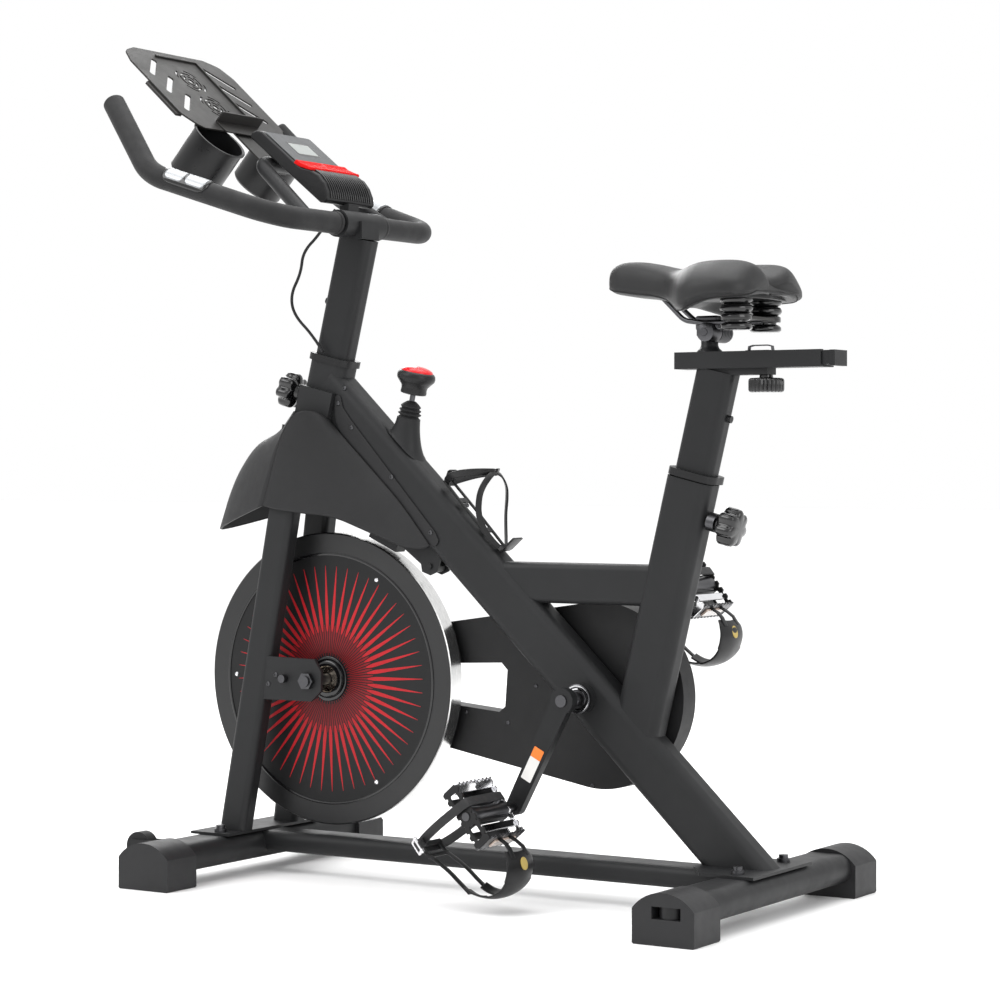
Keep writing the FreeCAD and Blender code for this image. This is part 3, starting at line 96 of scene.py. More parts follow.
class Mat:
    def __init__(self, name):
        self.m = bpy.data.materials.new(name)
        self.m.use_nodes = True
        self.t = self.m.node_tree
        self.n = self.t.nodes
        self.l = self.t.links
        self.n.clear()
        self.out = self.n.new("ShaderNodeOutputMaterial")
        self.b = self.n.new("ShaderNodeBsdfPrincipled")
        self.l.new(self.b.outputs[0], self.out.inputs[0])
        self.tc = self.n.new("ShaderNodeTexCoord")

    def set(self, **k):
        for a, v in k.items():
            self.b.inputs[a.replace("_", " ")].default_value = v
        return self

    def noise(self, scale, detail=4, rough=0.55, vec=None, stretch=None):
        x = self.n.new("ShaderNodeTexNoise")
        x.inputs["Scale"].default_value = scale
        x.inputs["Detail"].default_value = detail
        x.inputs["Roughness"].default_value = rough
        src = vec or self.tc.outputs["Object"]
        if stretch:
            mp = self.n.new("ShaderNodeMapping")
            mp.inputs["Scale"].default_value = stretch
            self.l.new(src, mp.inputs["Vector"])
            src = mp.outputs[0]
        self.l.new(src, x.inputs["Vector"])
        return x.outputs["Fac"]

    def voronoi(self, scale, feature="F1", out="Distance", vec=None):
        x = self.n.new("ShaderNodeTexVoronoi")
        x.feature = feature
        x.inputs["Scale"].default_value = scale
        self.l.new(vec or self.tc.outputs["Object"], x.inputs["Vector"])
        return x.outputs[out]

    def math(self, op, a, b=None, c=None, clamp=False):
        x = self.n.new("ShaderNodeMath")
        x.operation = op
        x.use_clamp = clamp
        for i, v in enumerate((a, b, c)):
            if v is None:
                continue
            if isinstance(v, (int, float)):
                x.inputs[i].default_value = v
            else:
                self.l.new(v, x.inputs[i])
        return x.outputs[0]

    def ramp(self, fac, stops):
        x = self.n.new("ShaderNodeValToRGB")
        e = x.color_ramp.elements
        while len(e) < len(stops):
            e.new(0.5)
        for k, (p, c) in enumerate(stops):
            e[k].position = p
            e[k].color = (c[0], c[1], c[2], 1) if not isinstance(c, (int, float)) else (c, c, c, 1)
        self.l.new(fac, x.inputs[0])
        return x.outputs[0]

    def bump(self, h, strength, dist, chain=None):
        x = self.n.new("ShaderNodeBump")
        x.inputs["Strength"].default_value = strength
        x.inputs["Distance"].default_value = dist
        self.l.new(h, x.inputs["Height"])
        if chain is not None:
            self.l.new(chain, x.inputs["Normal"])
        return x.outputs[0]

    def color(self, sock):
        self.l.new(sock, self.b.inputs["Base Color"])
        return self

    def rough(self, sock):
        self.l.new(sock, self.b.inputs["Roughness"])
        return self

    def normal(self, sock):
        self.l.new(sock, self.b.inputs["Normal"])
        return self

    def maprange(self, v, a, b, c, d):
        x = self.n.new("ShaderNodeMapRange")
        for i, q in zip((1, 2, 3, 4), (a, b, c, d)):
            x.inputs[i].default_value = q
        self.l.new(v, x.inputs[0])
        return x.outputs[0]


def coat(name, col, rough=0.46, grain=700.0, amount=0.12, spec=0.24):
    """powder coat: fine orange peel, a little broad variation in tone and gloss"""
    m = Mat(name)
    broad = m.noise(6.0, 3)
    c0 = [c * 0.86 for c in col]
    c1 = [min(1, c * 1.14) for c in col]
    m.color(m.ramp(broad, [(0.3, c0), (0.7, c1)]))
    m.rough(m.maprange(m.noise(35.0, 4), 0.3, 0.7, rough - 0.05, rough + 0.06))
    peel = m.noise(grain, 2)
    m.normal(m.bump(peel, amount, 0.0006))
    m.b.inputs["Specular IOR Level"].default_value = spec
    return m.m


def plastic(name, col, rough=0.5, grain=1600.0, amount=0.18, coatw=0.0):
    """moulded plastic: spark-eroded grain"""
    m = Mat(name)
    c0 = [c * 0.9 for c in col]
    c1 = [min(1, c * 1.12) for c in col]
    m.color(m.ramp(m.noise(12.0, 3), [(0.3, c0), (0.7, c1)]))
    m.rough(m.maprange(m.noise(60.0, 3), 0.3, 0.7, rough - 0.04, rough + 0.05))
    m.normal(m.bump(m.voronoi(grain), amount, 0.0003))
    m.b.inputs["Specular IOR Level"].default_value = 0.28
    if coatw:
        m.b.inputs["Coat Weight"].default_value = coatw
        m.b.inputs["Coat Roughness"].default_value = 0.08
    return m.m


def metal(name, col, rough=0.25, stretch=(1, 1, 1), scale=300.0, spread=0.1, amount=0.06):
    m = Mat(name)
    m.b.inputs["Metallic"].default_value = 1.0
    f = m.noise(scale, 4, 0.6, stretch=stretch)
    c0 = [c * 0.88 for c in col]
    m.color(m.ramp(f, [(0.3, c0), (0.7, col)]))
    m.rough(m.maprange(f, 0.25, 0.75, max(0.03, rough - spread / 2), rough + spread / 2))
    m.normal(m.bump(f, amount, 0.0003))
    return m.m


M_FRAME = coat("frame_powder_coat", (0.0125, 0.0128, 0.0135), 0.48)
M_FRAME2 = coat("post_powder_coat", (0.0105, 0.0108, 0.0115), 0.42)
M_SHROUD = plastic("shroud_plastic", (0.0120, 0.0120, 0.0127), 0.52, 1300, 0.14)
M_GUARD = plastic("guard_plastic", (0.0075, 0.0075, 0.008), 0.48, 1300, 0.14)
M_CAP = plastic("foot_cap_plastic", (0.016, 0.016, 0.017), 0.5, 1000, 0.2)
M_BLACK = plastic("black_plastic", (0.0070, 0.0070, 0.0075), 0.38, 1500, 0.14)
M_GLOSS = plastic("gloss_black", (0.004, 0.004, 0.0044), 0.18, 300, 0.02, 0.6)
M_CUP = plastic("cup_plastic", (0.009, 0.009, 0.0095), 0.30, 1100, 0.1)
M_PLATE = coat("tablet_plate_coat", (0.020, 0.019, 0.018), 0.42, 600, 0.12)
M_STEEL = metal("turned_steel", (0.55, 0.55, 0.57), 0.28)
M_DARKSTEEL = metal("blackened_steel", (0.09, 0.09, 0.095), 0.34)
M_CHROME = metal("chrome", (0.86, 0.86, 0.88), 0.08, scale=40, spread=0.05, amount=0.01)
M_BRASS = metal("bearing_steel", (0.50, 0.44, 0.36), 0.25)
M_ALU = metal("sensor_metal", (0.36, 0.37, 0.38), 0.34, stretch=(1, 30, 30), scale=60)


def make_red(name, col, rough):
    m = Mat(name)
    m.color(m.ramp(m.noise(25, 3), [(0.3, [c * 0.85 for c in col]), (0.75, col)]))
    m.b.inputs["Coat Weight"].default_value = 0.10
    m.b.inputs["Coat Roughness"].default_value = 0.12
    m.b.inputs["Specular IOR Level"].default_value = 0.25
    m.rough(m.maprange(m.noise(90, 3), 0.3, 0.7, rough - 0.03, rough + 0.03))
    m.normal(m.bump(m.noise(500, 2), 0.02, 0.0003))
    return m.m


M_RED = make_red("red_gloss", (0.62, 0.012, 0.016), 0.22)
M_REDTRIM = make_red("red_translucent", (0.60, 0.010, 0.010), 0.62)
M_REDTRIM.node_tree.nodes["Principled BSDF"].inputs["Specular IOR Level"].default_value = 0.04
M_REDTRIM.node_tree.nodes["Principled BSDF"].inputs["Coat Weight"].default_value = 0.0
M_ORANGE = make_red("orange_label", (0.80, 0.20, 0.03), 0.4)
M_WHITE = plastic("white_label", (0.72, 0.71, 0.69), 0.45, 800, 0.05)
M_YELLOW = make_red("gold_emblem", (0.42, 0.31, 0.08), 0.4)


def leatherette(name, col):
    m = Mat(name)
    cells = m.voronoi(420, "DISTANCE_TO_EDGE")
    crease = m.maprange(cells, 0.0, 0.12, 0.0, 1.0)
    fine = m.noise(1800, 3)
    m.color(m.ramp(m.noise(9, 4), [(0.3, [c * 0.8 for c in col]), (0.7, [c * 1.2 for c in col])]))
    m.rough(m.maprange(m.noise(20, 4), 0.3, 0.7, 0.40, 0.54))
    n1 = m.bump(crease, 0.25, 0.0003)
    m.normal(m.bump(fine, 0.12, 0.0002, n1))
    m.b.inputs["Specular IOR Level"].default_value = 0.36
    m.b.inputs["Sheen Weight"].default_value = 0.03
    m.b.inputs["Sheen Roughness"].default_value = 0.5
    return m.m


M_SADDLE = leatherette("saddle_leatherette", (0.0075, 0.0075, 0.008))


def foam(name, col):
    """dense bar foam: tiny open cells, soft sheen"""
    m = Mat(name)
    cells = m.voronoi(1500)
    m.color(m.ramp(m.noise(14, 4), [(0.3, [c * 0.85 for c in col]), (0.7, [c * 1.2 for c in col])]))
    m.rough(m.maprange(m.noise(50, 3), 0.3, 0.7, 0.58, 0.70))
    m.normal(m.bump(m.noise(1500, 3), 0.22, 0.0004, m.bump(cells, 0.2, 0.0003)))
    m.b.inputs["Specular IOR Level"].default_value = 0.3
    m.b.inputs["Sheen Weight"].default_value = 0.04
    return m.m


M_FOAM = foam("bar_foam", (0.0085, 0.0085, 0.009))
M_RUBBER = foam("black_rubber", (0.007, 0.007, 0.0075))


def webbing(name, col):
    m = Mat(name)
    w = m.n.new("ShaderNodeTexWave")
    w.inputs["Scale"].default_value = 260
    w.inputs["Distortion"].default_value = 0.4
    m.l.new(m.tc.outputs["Object"], w.inputs["Vector"])
    m.color(m.ramp(w.outputs["Fac"], [(0.2, [c * 0.6 for c in col]), (0.8, col)]))
    m.rough(m.maprange(m.noise(80, 3), 0.3, 0.7, 0.6, 0.75))
    m.normal(m.bump(w.outputs["Fac"], 0.4, 0.0004))
    return m.m


M_STRAP = webbing("strap_webbing", (0.012, 0.012, 0.013))


def flywheel_mat():
    """black satin faces, polished outer band, split by the distance from the hub"""
    m = Mat("flywheel_iron")
    sp = m.n.new("ShaderNodeSeparateXYZ")
    m.l.new(m.tc.outputs["Object"], sp.inputs[0])
    dx = m.math("SUBTRACT", sp.outputs[0], (HUB[0] + XS) / 1000.0)
    dz = m.math("SUBTRACT", sp.outputs[2], HUB[1] / 1000.0)
    r = m.math("SQRT", m.math("ADD", m.math("MULTIPLY", dx, dx), m.math("MULTIPLY", dz, dz)))
    mask = m.math("GREATER_THAN", r, 0.2149)
    ang = m.math("ARCTAN2", dz, dx)
    cmb = m.n.new("ShaderNodeCombineXYZ")
    m.l.new(m.math("MULTIPLY", ang, 0.6), cmb.inputs[0])
    m.l.new(m.math("MULTIPLY", sp.outputs[1], 60.0), cmb.inputs[1])
    lines = m.n.new("ShaderNodeTexNoise")
    lines.inputs["Scale"].default_value = 30
    lines.inputs["Detail"].default_value = 5
    m.l.new(cmb.outputs[0], lines.inputs["Vector"])
    pol = m.ramp(lines.outputs["Fac"], [(0.3, (0.60, 0.60, 0.60)), (0.7, (0.86, 0.86, 0.85))])
    mix = m.n.new("ShaderNodeMix")
    mix.data_type = "RGBA"
    m.l.new(mask, mix.inputs["Factor"])
    blk = m.ramp(m.noise(9, 3), [(0.3, (0.005, 0.005, 0.0055)), (0.7, (0.008, 0.008, 0.0085))])
    m.l.new(blk, mix.inputs["A"])
    m.l.new(pol, mix.inputs["B"])
    m.color(mix.outputs["Result"])
    m.l.new(mask, m.b.inputs["Metallic"])
    rr = m.math("ADD", m.math("MULTIPLY", mask, -0.16), m.maprange(m.noise(60, 3), 0.3, 0.7, 0.34, 0.42))
    m.rough(rr)
    m.normal(m.bump(m.noise(500, 3), 0.08, 0.0004))
    return m.m


M_FLY = flywheel_mat()
M_COVER = plastic("disc_cover", (0.0055, 0.0055, 0.006), 0.42, 900, 0.05)


def lcd_mat():
    m = Mat("lcd_glass")
    m.color(m.ramp(m.noise(8, 2), [(0.2, (0.24, 0.26, 0.25)), (0.8, (0.29, 0.31, 0.30))]))
    m.b.inputs["Coat Weight"].default_value = 0.10
    m.b.inputs["Coat Roughness"].default_value = 0.1
    m.rough(m.maprange(m.noise(60, 3), 0.3, 0.7, 0.28, 0.34))
    return m.m


M_LCD = lcd_mat()
M_FACE = plastic("console_face_grey", (0.070, 0.073, 0.076), 0.44, 900, 0.05)


def floor_mat():
    m = Mat("studio_floor")
    m.color(m.ramp(m.noise(0.7, 3), [(0.3, (0.93, 0.93, 0.93)), (0.7, (0.96, 0.96, 0.96))]))
    m.rough(m.maprange(m.noise(4, 3), 0.3, 0.7, 0.55, 0.65))
    m.normal(m.bump(m.noise(200, 2), 0.02, 0.001))
    m.b.inputs["Specular IOR Level"].default_value = 0.2
    return m.m


M_FLOOR = floor_mat()

# =================================================================== mesh helpers


def link(me, name, mats, smooth=True, angle=34):
    o = bpy.data.objects.new(name, me)
    COL.objects.link(o)
    for m in (mats if isinstance(mats, (list, tuple)) else [mats]):
        me.materials.append(m)
    if smooth:
        for p in me.polygons:
            p.use_smooth = True
        me.set_sharp_from_angle(angle=math.radians(angle))
    return o


def from_bm(bm, name, mats, smooth=True, angle=34):
    bmesh.ops.recalc_face_normals(bm, faces=bm.faces)
    me = bpy.data.meshes.new(name)
    bm.to_mesh(me)
    bm.free()
    return link(me, name, mats, smooth, angle)


def basis(z, up=None):
    """3x3 rotation with the given local z; local x as near `up` as it can be"""
    z = z.normalized()
    up = up or (ZD if abs(z.z) < 0.9 else Vector((1, 0, 0)))
    x = (up - z * up.dot(z)).normalized()
    y = z.cross(x)
    return Matrix((x, y, z)).transposed()


def place(rot, loc):
    return Matrix.Translation(loc) @ rot.to_4x4()


def lathe(name, prof, origin, axis, mat, seg=72, rfun=None, angle=34, mats_by=None):
    """profile [(r_mm, h_mm)] turned about axis; rfun(theta, r, h) may change r"""
    M = place(basis(axis), origin)
    bm = bmesh.new()
    rings = []
    for (r, h) in prof:
        if r < 1e-6:
            rings.append([bm.verts.new(M @ Vector((0, 0, h / 1000.0)))])
            continue
        ring = []
        for k in range(seg):
            t = 2 * math.pi * k / seg
            q = rfun(t, r, h) if rfun else r
            ring.append(bm.verts.new(M @ Vector((q / 1000.0 * math.cos(t), q / 1000.0 * math.sin(t), h / 1000.0))))
        rings.append(ring)
    for i in range(len(rings) - 1):
        a, b = rings[i], rings[i + 1]
        mi = mats_by(prof[i], prof[i + 1]) if mats_by else 0
        for k in range(seg):
            k2 = (k + 1) % seg
            if len(a) == 1 and len(b) == 1:
                continue
            if len(a) == 1:
                f = bm.faces.new((a[0], b[k], b[k2]))
            elif len(b) == 1:
                f = bm.faces.new((a[k], a[k2], b[0]))
            else:
                f = bm.faces.new((a[k], a[k2], b[k2], b[k]))
            f.material_index = mi
    return from_bm(bm, name, mat, True, angle)


def smooth_path(points, radii, n=10):
    """straight runs joined by tangent arcs, as a list of points"""
    out = [points[0]]
    for i in range(1, len(points) - 1):
        p, q, nx = points[i - 1], points[i], points[i + 1]
        a, b = (p - q).normalized(), (nx - q).normalized()
        half = a.angle(b) / 2
        R = radii[i - 1]
        t = R / math.tan(half)
        c = q + (a + b).normalized() * (R / math.sin(half))
        s0, s1 = q + a * t, q + b * t
        u, v = (s0 - c), (s1 - c)
        ang = u.angle(v)
        ax = u.cross(v).normalized()
        for k in range(n + 1):
            out.append(c + Quaternion(ax, ang * k / n) @ u)
    out.append(points[-1])
    return out


def frames(pts, up):
    fr = []
    n = len(pts)
    prev = None
    for i, p in enumerate(pts):
        if i == 0:
            d = pts[1] - p
        elif i == n - 1:
            d = p - pts[i - 1]
        else:
            d = (pts[i + 1] - p).normalized() + (p - pts[i - 1]).normalized()
        d.normalize()
        if prev is None:
            x = up - d * up.dot(d)
        else:
            x = prev - d * prev.dot(d)
        x.normalize()
        prev = x
        fr.append((p, x, d.cross(x), d))
    return fr


def sweep(name, pts, section, mat, up=None, closed_ends=True, angle=34, scale=None, cyclic=False):
    """section [(x_mm, y_mm)] carried along pts; x follows `up`"""
    up = up or ZD
    fr = frames(pts, up)
    bm = bmesh.new()
    rings = []
    for i, (p, x, y, d) in enumerate(fr):
        s_ = scale(i / (len(fr) - 1)) if scale else 1.0
        rings.append([bm.verts.new(p + x * (a * s_ / 1000.0) + y * (b * s_ / 1000.0)) for a, b in section])
    m = len(section)
    for i in range(len(rings) - 1):
        for k in range(m):
            bm.faces.new((rings[i][k], rings[i][(k + 1) % m], rings[i + 1][(k + 1) % m], rings[i + 1][k]))
    if closed_ends:
        bm.faces.new(rings[0])
        bm.faces.new(list(reversed(rings[-1])))
    return from_bm(bm, name, mat, True, angle)


def ring_section(r, n=20):
    return [(r * math.cos(2 * math.pi * k / n), r * math.sin(2 * math.pi * k / n)) for k in range(n)]


def flat_section(w, t, r=None, n=3):
    """flat bar section, w along x and t along y, with rounded corners"""
    r = min(w, t) * 0.45 if r is None else r
    pts = []
    for cx, cy, a0 in ((w / 2 - r, t / 2 - r, 0), (-w / 2 + r, t / 2 - r, 90), (-w / 2 + r, -t / 2 + r, 180), (w / 2 - r, -t / 2 + r, 270)):
        for k in range(n + 1):
            a = math.radians(a0 + 90.0 * k / n)
            pts.append((cx + r * math.cos(a), cy + r * math.sin(a)))
    return pts


def round_poly(pts, radii, n=6):
    """2-D outline with rounded corners"""
    out = []
    N = len(pts)
    for i in range(N):
        p, q, nx = Vector(pts[i - 1]), Vector(pts[i]), Vector(pts[(i + 1) % N])
        r = radii[i] if isinstance(radii, (list, tuple)) else radii
        if r <= 0:
            out.append(tuple(q))
            continue
        a, b = (p - q).normalized(), (nx - q).normalized()
        half = a.angle(b) / 2
        t = min(r / math.tan(half), 0.48 * (p - q).length, 0.48 * (nx - q).length)
        R = t * math.tan(half)
        c = q + (a + b).normalized() * (R / math.sin(half))
        s0, s1 = q + a * t, q + b * t
        a0 = math.atan2(s0.y - c.y, s0.x - c.x)
        a1 = math.atan2(s1.y - c.y, s1.x - c.x)
        dlt = (a1 - a0 + math.pi) % (2 * math.pi) - math.pi
        for k in range(n + 1):
            t_ = a0 + dlt * k / n
            out.append((c.x + R * math.cos(t_), c.y + R * math.sin(t_)))
    return out


def slab(name, outline, z0, z1, M, mat, bevel=0.4, holes=(), angle=34, segs=2):
    """outline (mm) extruded from z0 to z1 in the local frame M, with bevelled edges.
    holes are further outlines cut through."""
    bm = bmesh.new()

    def loop(o, z):
        return [bm.verts.new(M @ Vector((x / 1000.0, y / 1000.0, z / 1000.0))) for x, y in o]
    tops, bots = [], []
    for o in [outline] + list(holes):
        a, b = loop(o, z0), loop(o, z1)
        n = len(o)
        for k in range(n):
            bm.faces.new((a[k], a[(k + 1) % n], b[(k + 1) % n], b[k]))
        tops.append(b)
        bots.append(a)
    if not holes:
        bm.faces.new(tops[0])
        bm.faces.new(list(reversed(bots[0])))
    else:
        for group in (tops, bots):
            edges = []
            for lp in group:
                n = len(lp)
                for k in range(n):
                    e = bm.edges.get((lp[k], lp[(k + 1) % n]))
                    edges.append(e)
            bmesh.ops.triangle_fill(bm, use_beauty=True, use_dissolve=False, edges=edges)
    o = from_bm(bm, name, mat, True, angle)
    if bevel:
        bv = o.modifiers.new("bevel", "BEVEL")
        bv.width = bevel / 1000.0
        bv.segments = segs
        bv.limit_method = "ANGLE"
        bv.angle_limit = math.radians(40)
        bv.harden_normals = False
    return o


def box(name, size, M, mat, bevel=0.8, segs=3):
    x, y, z = [v / 2.0 for v in size]
    return slab(name, [(-x, -y), (x, -y), (x, y), (-x, y)], -z, z, M, mat, bevel, segs=segs)


def join(name, objs):
    """one object from several, modifiers applied"""
    dg = bpy.context.evaluated_depsgraph_get()
    bm = bmesh.new()
    mats = []
    for o in objs:
        dg = bpy.context.evaluated_depsgraph_get()
        ev = o.evaluated_get(dg)
        me = bpy.data.meshes.new_from_object(ev)
        me.transform(o.matrix_world)
        remap = []
        for m in me.materials:
            if m not in mats:
                mats.append(m)
            remap.append(mats.index(m))
        base = len(bm.faces)
        sm = [p.use_smooth for p in me.polygons]
        bm.from_mesh(me)
        bm.faces.ensure_lookup_table()
        for k in range(base, len(bm.faces)):
            f = bm.faces[k]
            f.material_index = remap[f.material_index] if f.material_index < len(remap) else 0
        bpy.data.meshes.remove(me)
    me = bpy.data.meshes.new(name)
    bm.to_mesh(me)
    bm.free()
    for o in objs:
        bpy.data.objects.remove(o, do_unlink=True)
    o = bpy.data.objects.new(name, me)
    COL.objects.link(o)
    for m in mats:
        me.materials.append(m)
    for p in me.polygons:
        p.use_smooth = True
    me.set_sharp_from_angle(angle=math.radians(34))
    return o


def put(obj, body, *replaced, slot=None):
    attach(obj, body)
    if replaced:
        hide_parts(*replaced)
    return obj


def screw_head(name, c, n, r, body, mat=None, h=1.6, hexhole=True):
    """small button-head screw with a socket"""
    prof = [(0, h * 0.35), (r * 0.42, h * 0.35), (r * 0.46, h * 0.95), (r * 0.7, h * 0.9), (r * 0.95, h * 0.45), (r, 0.0), (r, -0.4)]
    o = lathe(name, prof, c, n, mat or M_DARKSTEEL, 20)
    put(o, body)
    return o


# carried-over CAD pieces: one procedural finish each
def paint(node, mat):
    o = NODES[node]
    o.data.materials.clear() if False else None
    for sl in o.material_slots:
        sl.link = "OBJECT"
        sl.material = mat
    if not o.material_slots:
        o.data.materials.append(mat)


def soften(node, w=0.8, seg=2):
    b = NODES[node].modifiers.new("edge", "BEVEL")
    b.width = w / 1000.0
    b.segments = seg
    b.limit_method = "ANGLE"
    b.angle_limit = math.radians(50)


for nd in ("front_stabilizer", "rear_stabilizer", "base_tube", "diagonal_tube", "head_tube", "seat_tube", "top_tube",
           "fork_legs", "weld_plates", "bb_shell", "wheel_brackets", "brake_bracket", "brake_arm", "seat_rail",
           "inner_bar", "bar_clamp"):
    paint(nd, M_FRAME)
for nd in ("handlebar_post", "seat_post", "seat_slider"):
    paint(nd, M_FRAME2)
paint("tablet_plate", M_PLATE)
for nd in ("post_collars", "console_housing", "pedal_left", "pedal_right", "toe_clip_left", "toe_clip_right",
           "level_wheel_left", "level_wheel_right", "sensor_cable", "bottle_cage", "brake_housing", "head_knob", "seat_knob", "slider_knob"):
    paint(nd, M_BLACK)
for nd in ("belt_guard_inner", "belt_guard_outer"):
    paint(nd, M_GUARD)
paint("foot_caps", M_CAP)
paint("fender", M_SHROUD)
paint("cup_holders", M_CUP)
paint("handlebar", M_FOAM)
paint("pulse_sensors", M_ALU)
paint("flywheel", M_FLY)
paint("flywheel_covers", M_COVER)
paint("flywheel_pulley", M_STEEL)
paint("drive_pulley", M_DARKSTEEL)
paint("drive_belt", M_RUBBER)
for nd in ("wheel_axle", "frame_fasteners", "spindles", "head_pin", "seat_pin", "brake_rod"):
    paint(nd, M_DARKSTEEL)
paint("crank_arms", M_FRAME2)
paint("brake_knob", M_RED)
paint("mode_button", M_REDTRIM)
paint("console_face", M_FACE)
paint("saddle_cushion", M_SADDLE)
paint("saddle_frame", M_BLACK)
paint("transport_wheel_left", M_RUBBER)
paint("transport_wheel_right", M_RUBBER)

# =================================================================== flywheel dress


def flat_poly(bm, pts, y, t, mi=0):
    """thin plate from (x, z) mm points about the hub, at Y=y, t thick outwards"""
    sg = 1 if y > 0 else -1
    a = [bm.verts.new(W(HUB[0] + p[0], y, HUB[1] + p[1])) for p in pts]
    b = [bm.verts.new(W(HUB[0] + p[0], y + sg * t, HUB[1] + p[1])) for p in pts]
    f = bm.faces.new(b)
    f.material_index = mi
    n = len(pts)
    for k in range(n):
        g = bm.faces.new((a[k], a[(k + 1) % n], b[(k + 1) % n], b[k]))
        g.material_index = mi


M_SUN = make_red("sunburst_red", (0.42, 0.008, 0.014), 0.5)
M_SUN2 = make_red("sunburst_dark_red", (0.20, 0.004, 0.008), 0.5)
for side, y in (("left", -15.45), ("right", 15.45)):
    if side == "right":
        continue
bm = bmesh.new()
for y in (-15.42, 15.42):
    N = 52
    for k in range(N):
        a = 2 * math.pi * (k + 0.3) / N
        ca, sa = math.cos(a), math.sin(a)

        def pt(r, w):
            return (r * ca - w * sa, r * sa + w * ca)
        prof = [(70, 1.1), (78, 2.3), (84, 2.8), (92, 2.8), (120, 2.0), (150, 1.0), (167, 0.25)]
        flat_poly(bm, [pt(r, w) for r, w in prof] + [pt(r, -w) for r, w in reversed(prof)], y, 0.2, 0)
        prof = [(38, 0.4), (48, 0.8), (60, 1.2), (70, 1.5), (76, 1.1), (80, 0.3)]
        a += math.pi / N
        ca, sa = math.cos(a), math.sin(a)
        flat_poly(bm, [pt(r, w) for r, w in prof] + [pt(r, -w) for r, w in reversed(prof)], y, 0.2, 1)
        # narrow stem from the hub to the long ray
        a -= math.pi / N
        ca, sa = math.cos(a), math.sin(a)
        prof = [(34, 0.45), (52, 0.75), (70, 1.1)]
        flat_poly(bm, [pt(r, w) for r, w in prof] + [pt(r, -w) for r, w in reversed(prof)], y, 0.2, 1)
sun = from_bm(bm, "sunburst", [M_SUN, M_SUN2], False)
put(sun, "flywheel")
# rolled lip and hub ring of the disc cover, on both faces
for side, sg in (("left", -1), ("right", 1)):
    lip = lathe("cover_lip_" + side, [(186.5, 0.0), (186.2, 1.2), (184.5, 1.7), (182.6, 1.2), (182.2, 0.0)], W(HUB[0], sg * 15.3, HUB[1]), YD * sg, M_GLOSS, 160)
    put(lip, "flywheel")
    hubring = lathe("hub_ring_" + side, [(33.5, 0), (33.0, 3.0), (30.5, 4.0), (27.5, 3.6), (26.8, 6.0), (25.0, 7.0), (19.5, 7.0), (18.6, 5.6), (17.6, 5.2), (9.2, 5.2), (9.2, 0)],
                    W(HUB[0], sg * 15.3, HUB[1]), YD * sg, [M_GLOSS, M_BRASS, M_CHROME], 80,
                    mats_by=lambda a, b: 1 if max(a[0], b[0]) <= 19.6 else (2 if 24.9 < min(a[0], b[0]) and max(a[0], b[0]) < 27.6 and False else 0))
    put(hubring, "flywheel")
    if side == "left":
        for deg in (60, 180, -60):
            t = math.radians(deg)
            screw_head("cover_screw_%s_%d" % (side, deg % 360), W(HUB[0] + 171 * math.cos(t), sg * 15.35, HUB[1] + 171 * math.sin(t)), YD * sg, 3.4, "flywheel", M_CHROME, 1.8)

# =================================================================== fender


def lerp(a, b, t):
    return a + (b - a) * t


def poly_at(pts, t):
    """point at share t of a polyline, by equal index spacing, smoothed"""
    n = len(pts) - 1
    x = min(max(t, 0), 1) * n
    i = min(int(x), n - 1)
    f = x - i
    p0, p1, p2, p3 = pts[max(i - 1, 0)], pts[i], pts[i + 1], pts[min(i + 2, n)]
    return 0.5 * ((2 * p1) + (p2 - p0) * f + (2 * p0 - 5 * p1 + 4 * p2 - p3) * f * f + (3 * p1 - p0 - 3 * p2 + p3) * f ** 3)


crease = [Vector(p) for p in ((-303, -66, 686), (-322, -66, 661), (-337, -66, 628), (-347, -66, 597), (-355, -66, 572), (-363, -66, 549))]
mid20 = [Vector(p) for p in ((-335, 0, 688), (-361, 0, 660), (-403, 0, 637), (-431, 0, 604), (-451, 0, 567), (-470, 0, 517))]
mid0 = [Vector((c.x + (m.x - c.x) / 0.836, 0, c.z + (m.z - c.z) / 0.836)) for c, m in zip(crease, mid20)]
bm = bmesh.new()
NT, NS = 28, 32
grid = []
for i in range(NT + 1):
    t = i / NT
    c, m = poly_at(crease, t), poly_at(mid0, t)
    row = []
    for j in range(NS + 1):
        s_ = -1 + 2 * j / NS
        b = 1 - abs(s_) ** 1.6
        row.append(bm.verts.new(W(lerp(c.x, m.x, b), 66 * s_, lerp(c.z, m.z, b))))
    grid.append(row)
for i in range(NT):
    for j in range(NS):
        bm.faces.new((grid[i][j], grid[i][j + 1], grid[i + 1][j + 1], grid[i + 1][j]))
nose = from_bm(bm, "fender_nose", M_SHROUD)
sol = nose.modifiers.new("wall", "SOLIDIFY")
sol.thickness = 0.0026
sol.offset = 1
put(nose, "frame", "fender")

bottom = [Vector(p) for p in ((-363, -66, 549), (-338, -66.5, 544), (-310, -65, 541), (-288, -62, 538), (-262, -57, 536), (-235, -50, 530), (-209, -45, 520),
                              (-182, -40, 509), (-157, -36, 499), (-140, -33, 492), (-124, -31, 488.5), (-106, -29.5, 488), (-92, -28, 493))]
top = [Vector(p) for p in ((-303, -66, 686), (-296, -63.5, 688), (-288, -59, 688.5), (-281, -53, 687), (-275, -46, 683), (-270, -38, 677), (-267, -31, 670))]
rear = [Vector(p) for p in ((-267, -31, 670), (-240, -29, 645), (-190, -28, 598.5), (-140, -28, 550), (-92, -28, 493))]


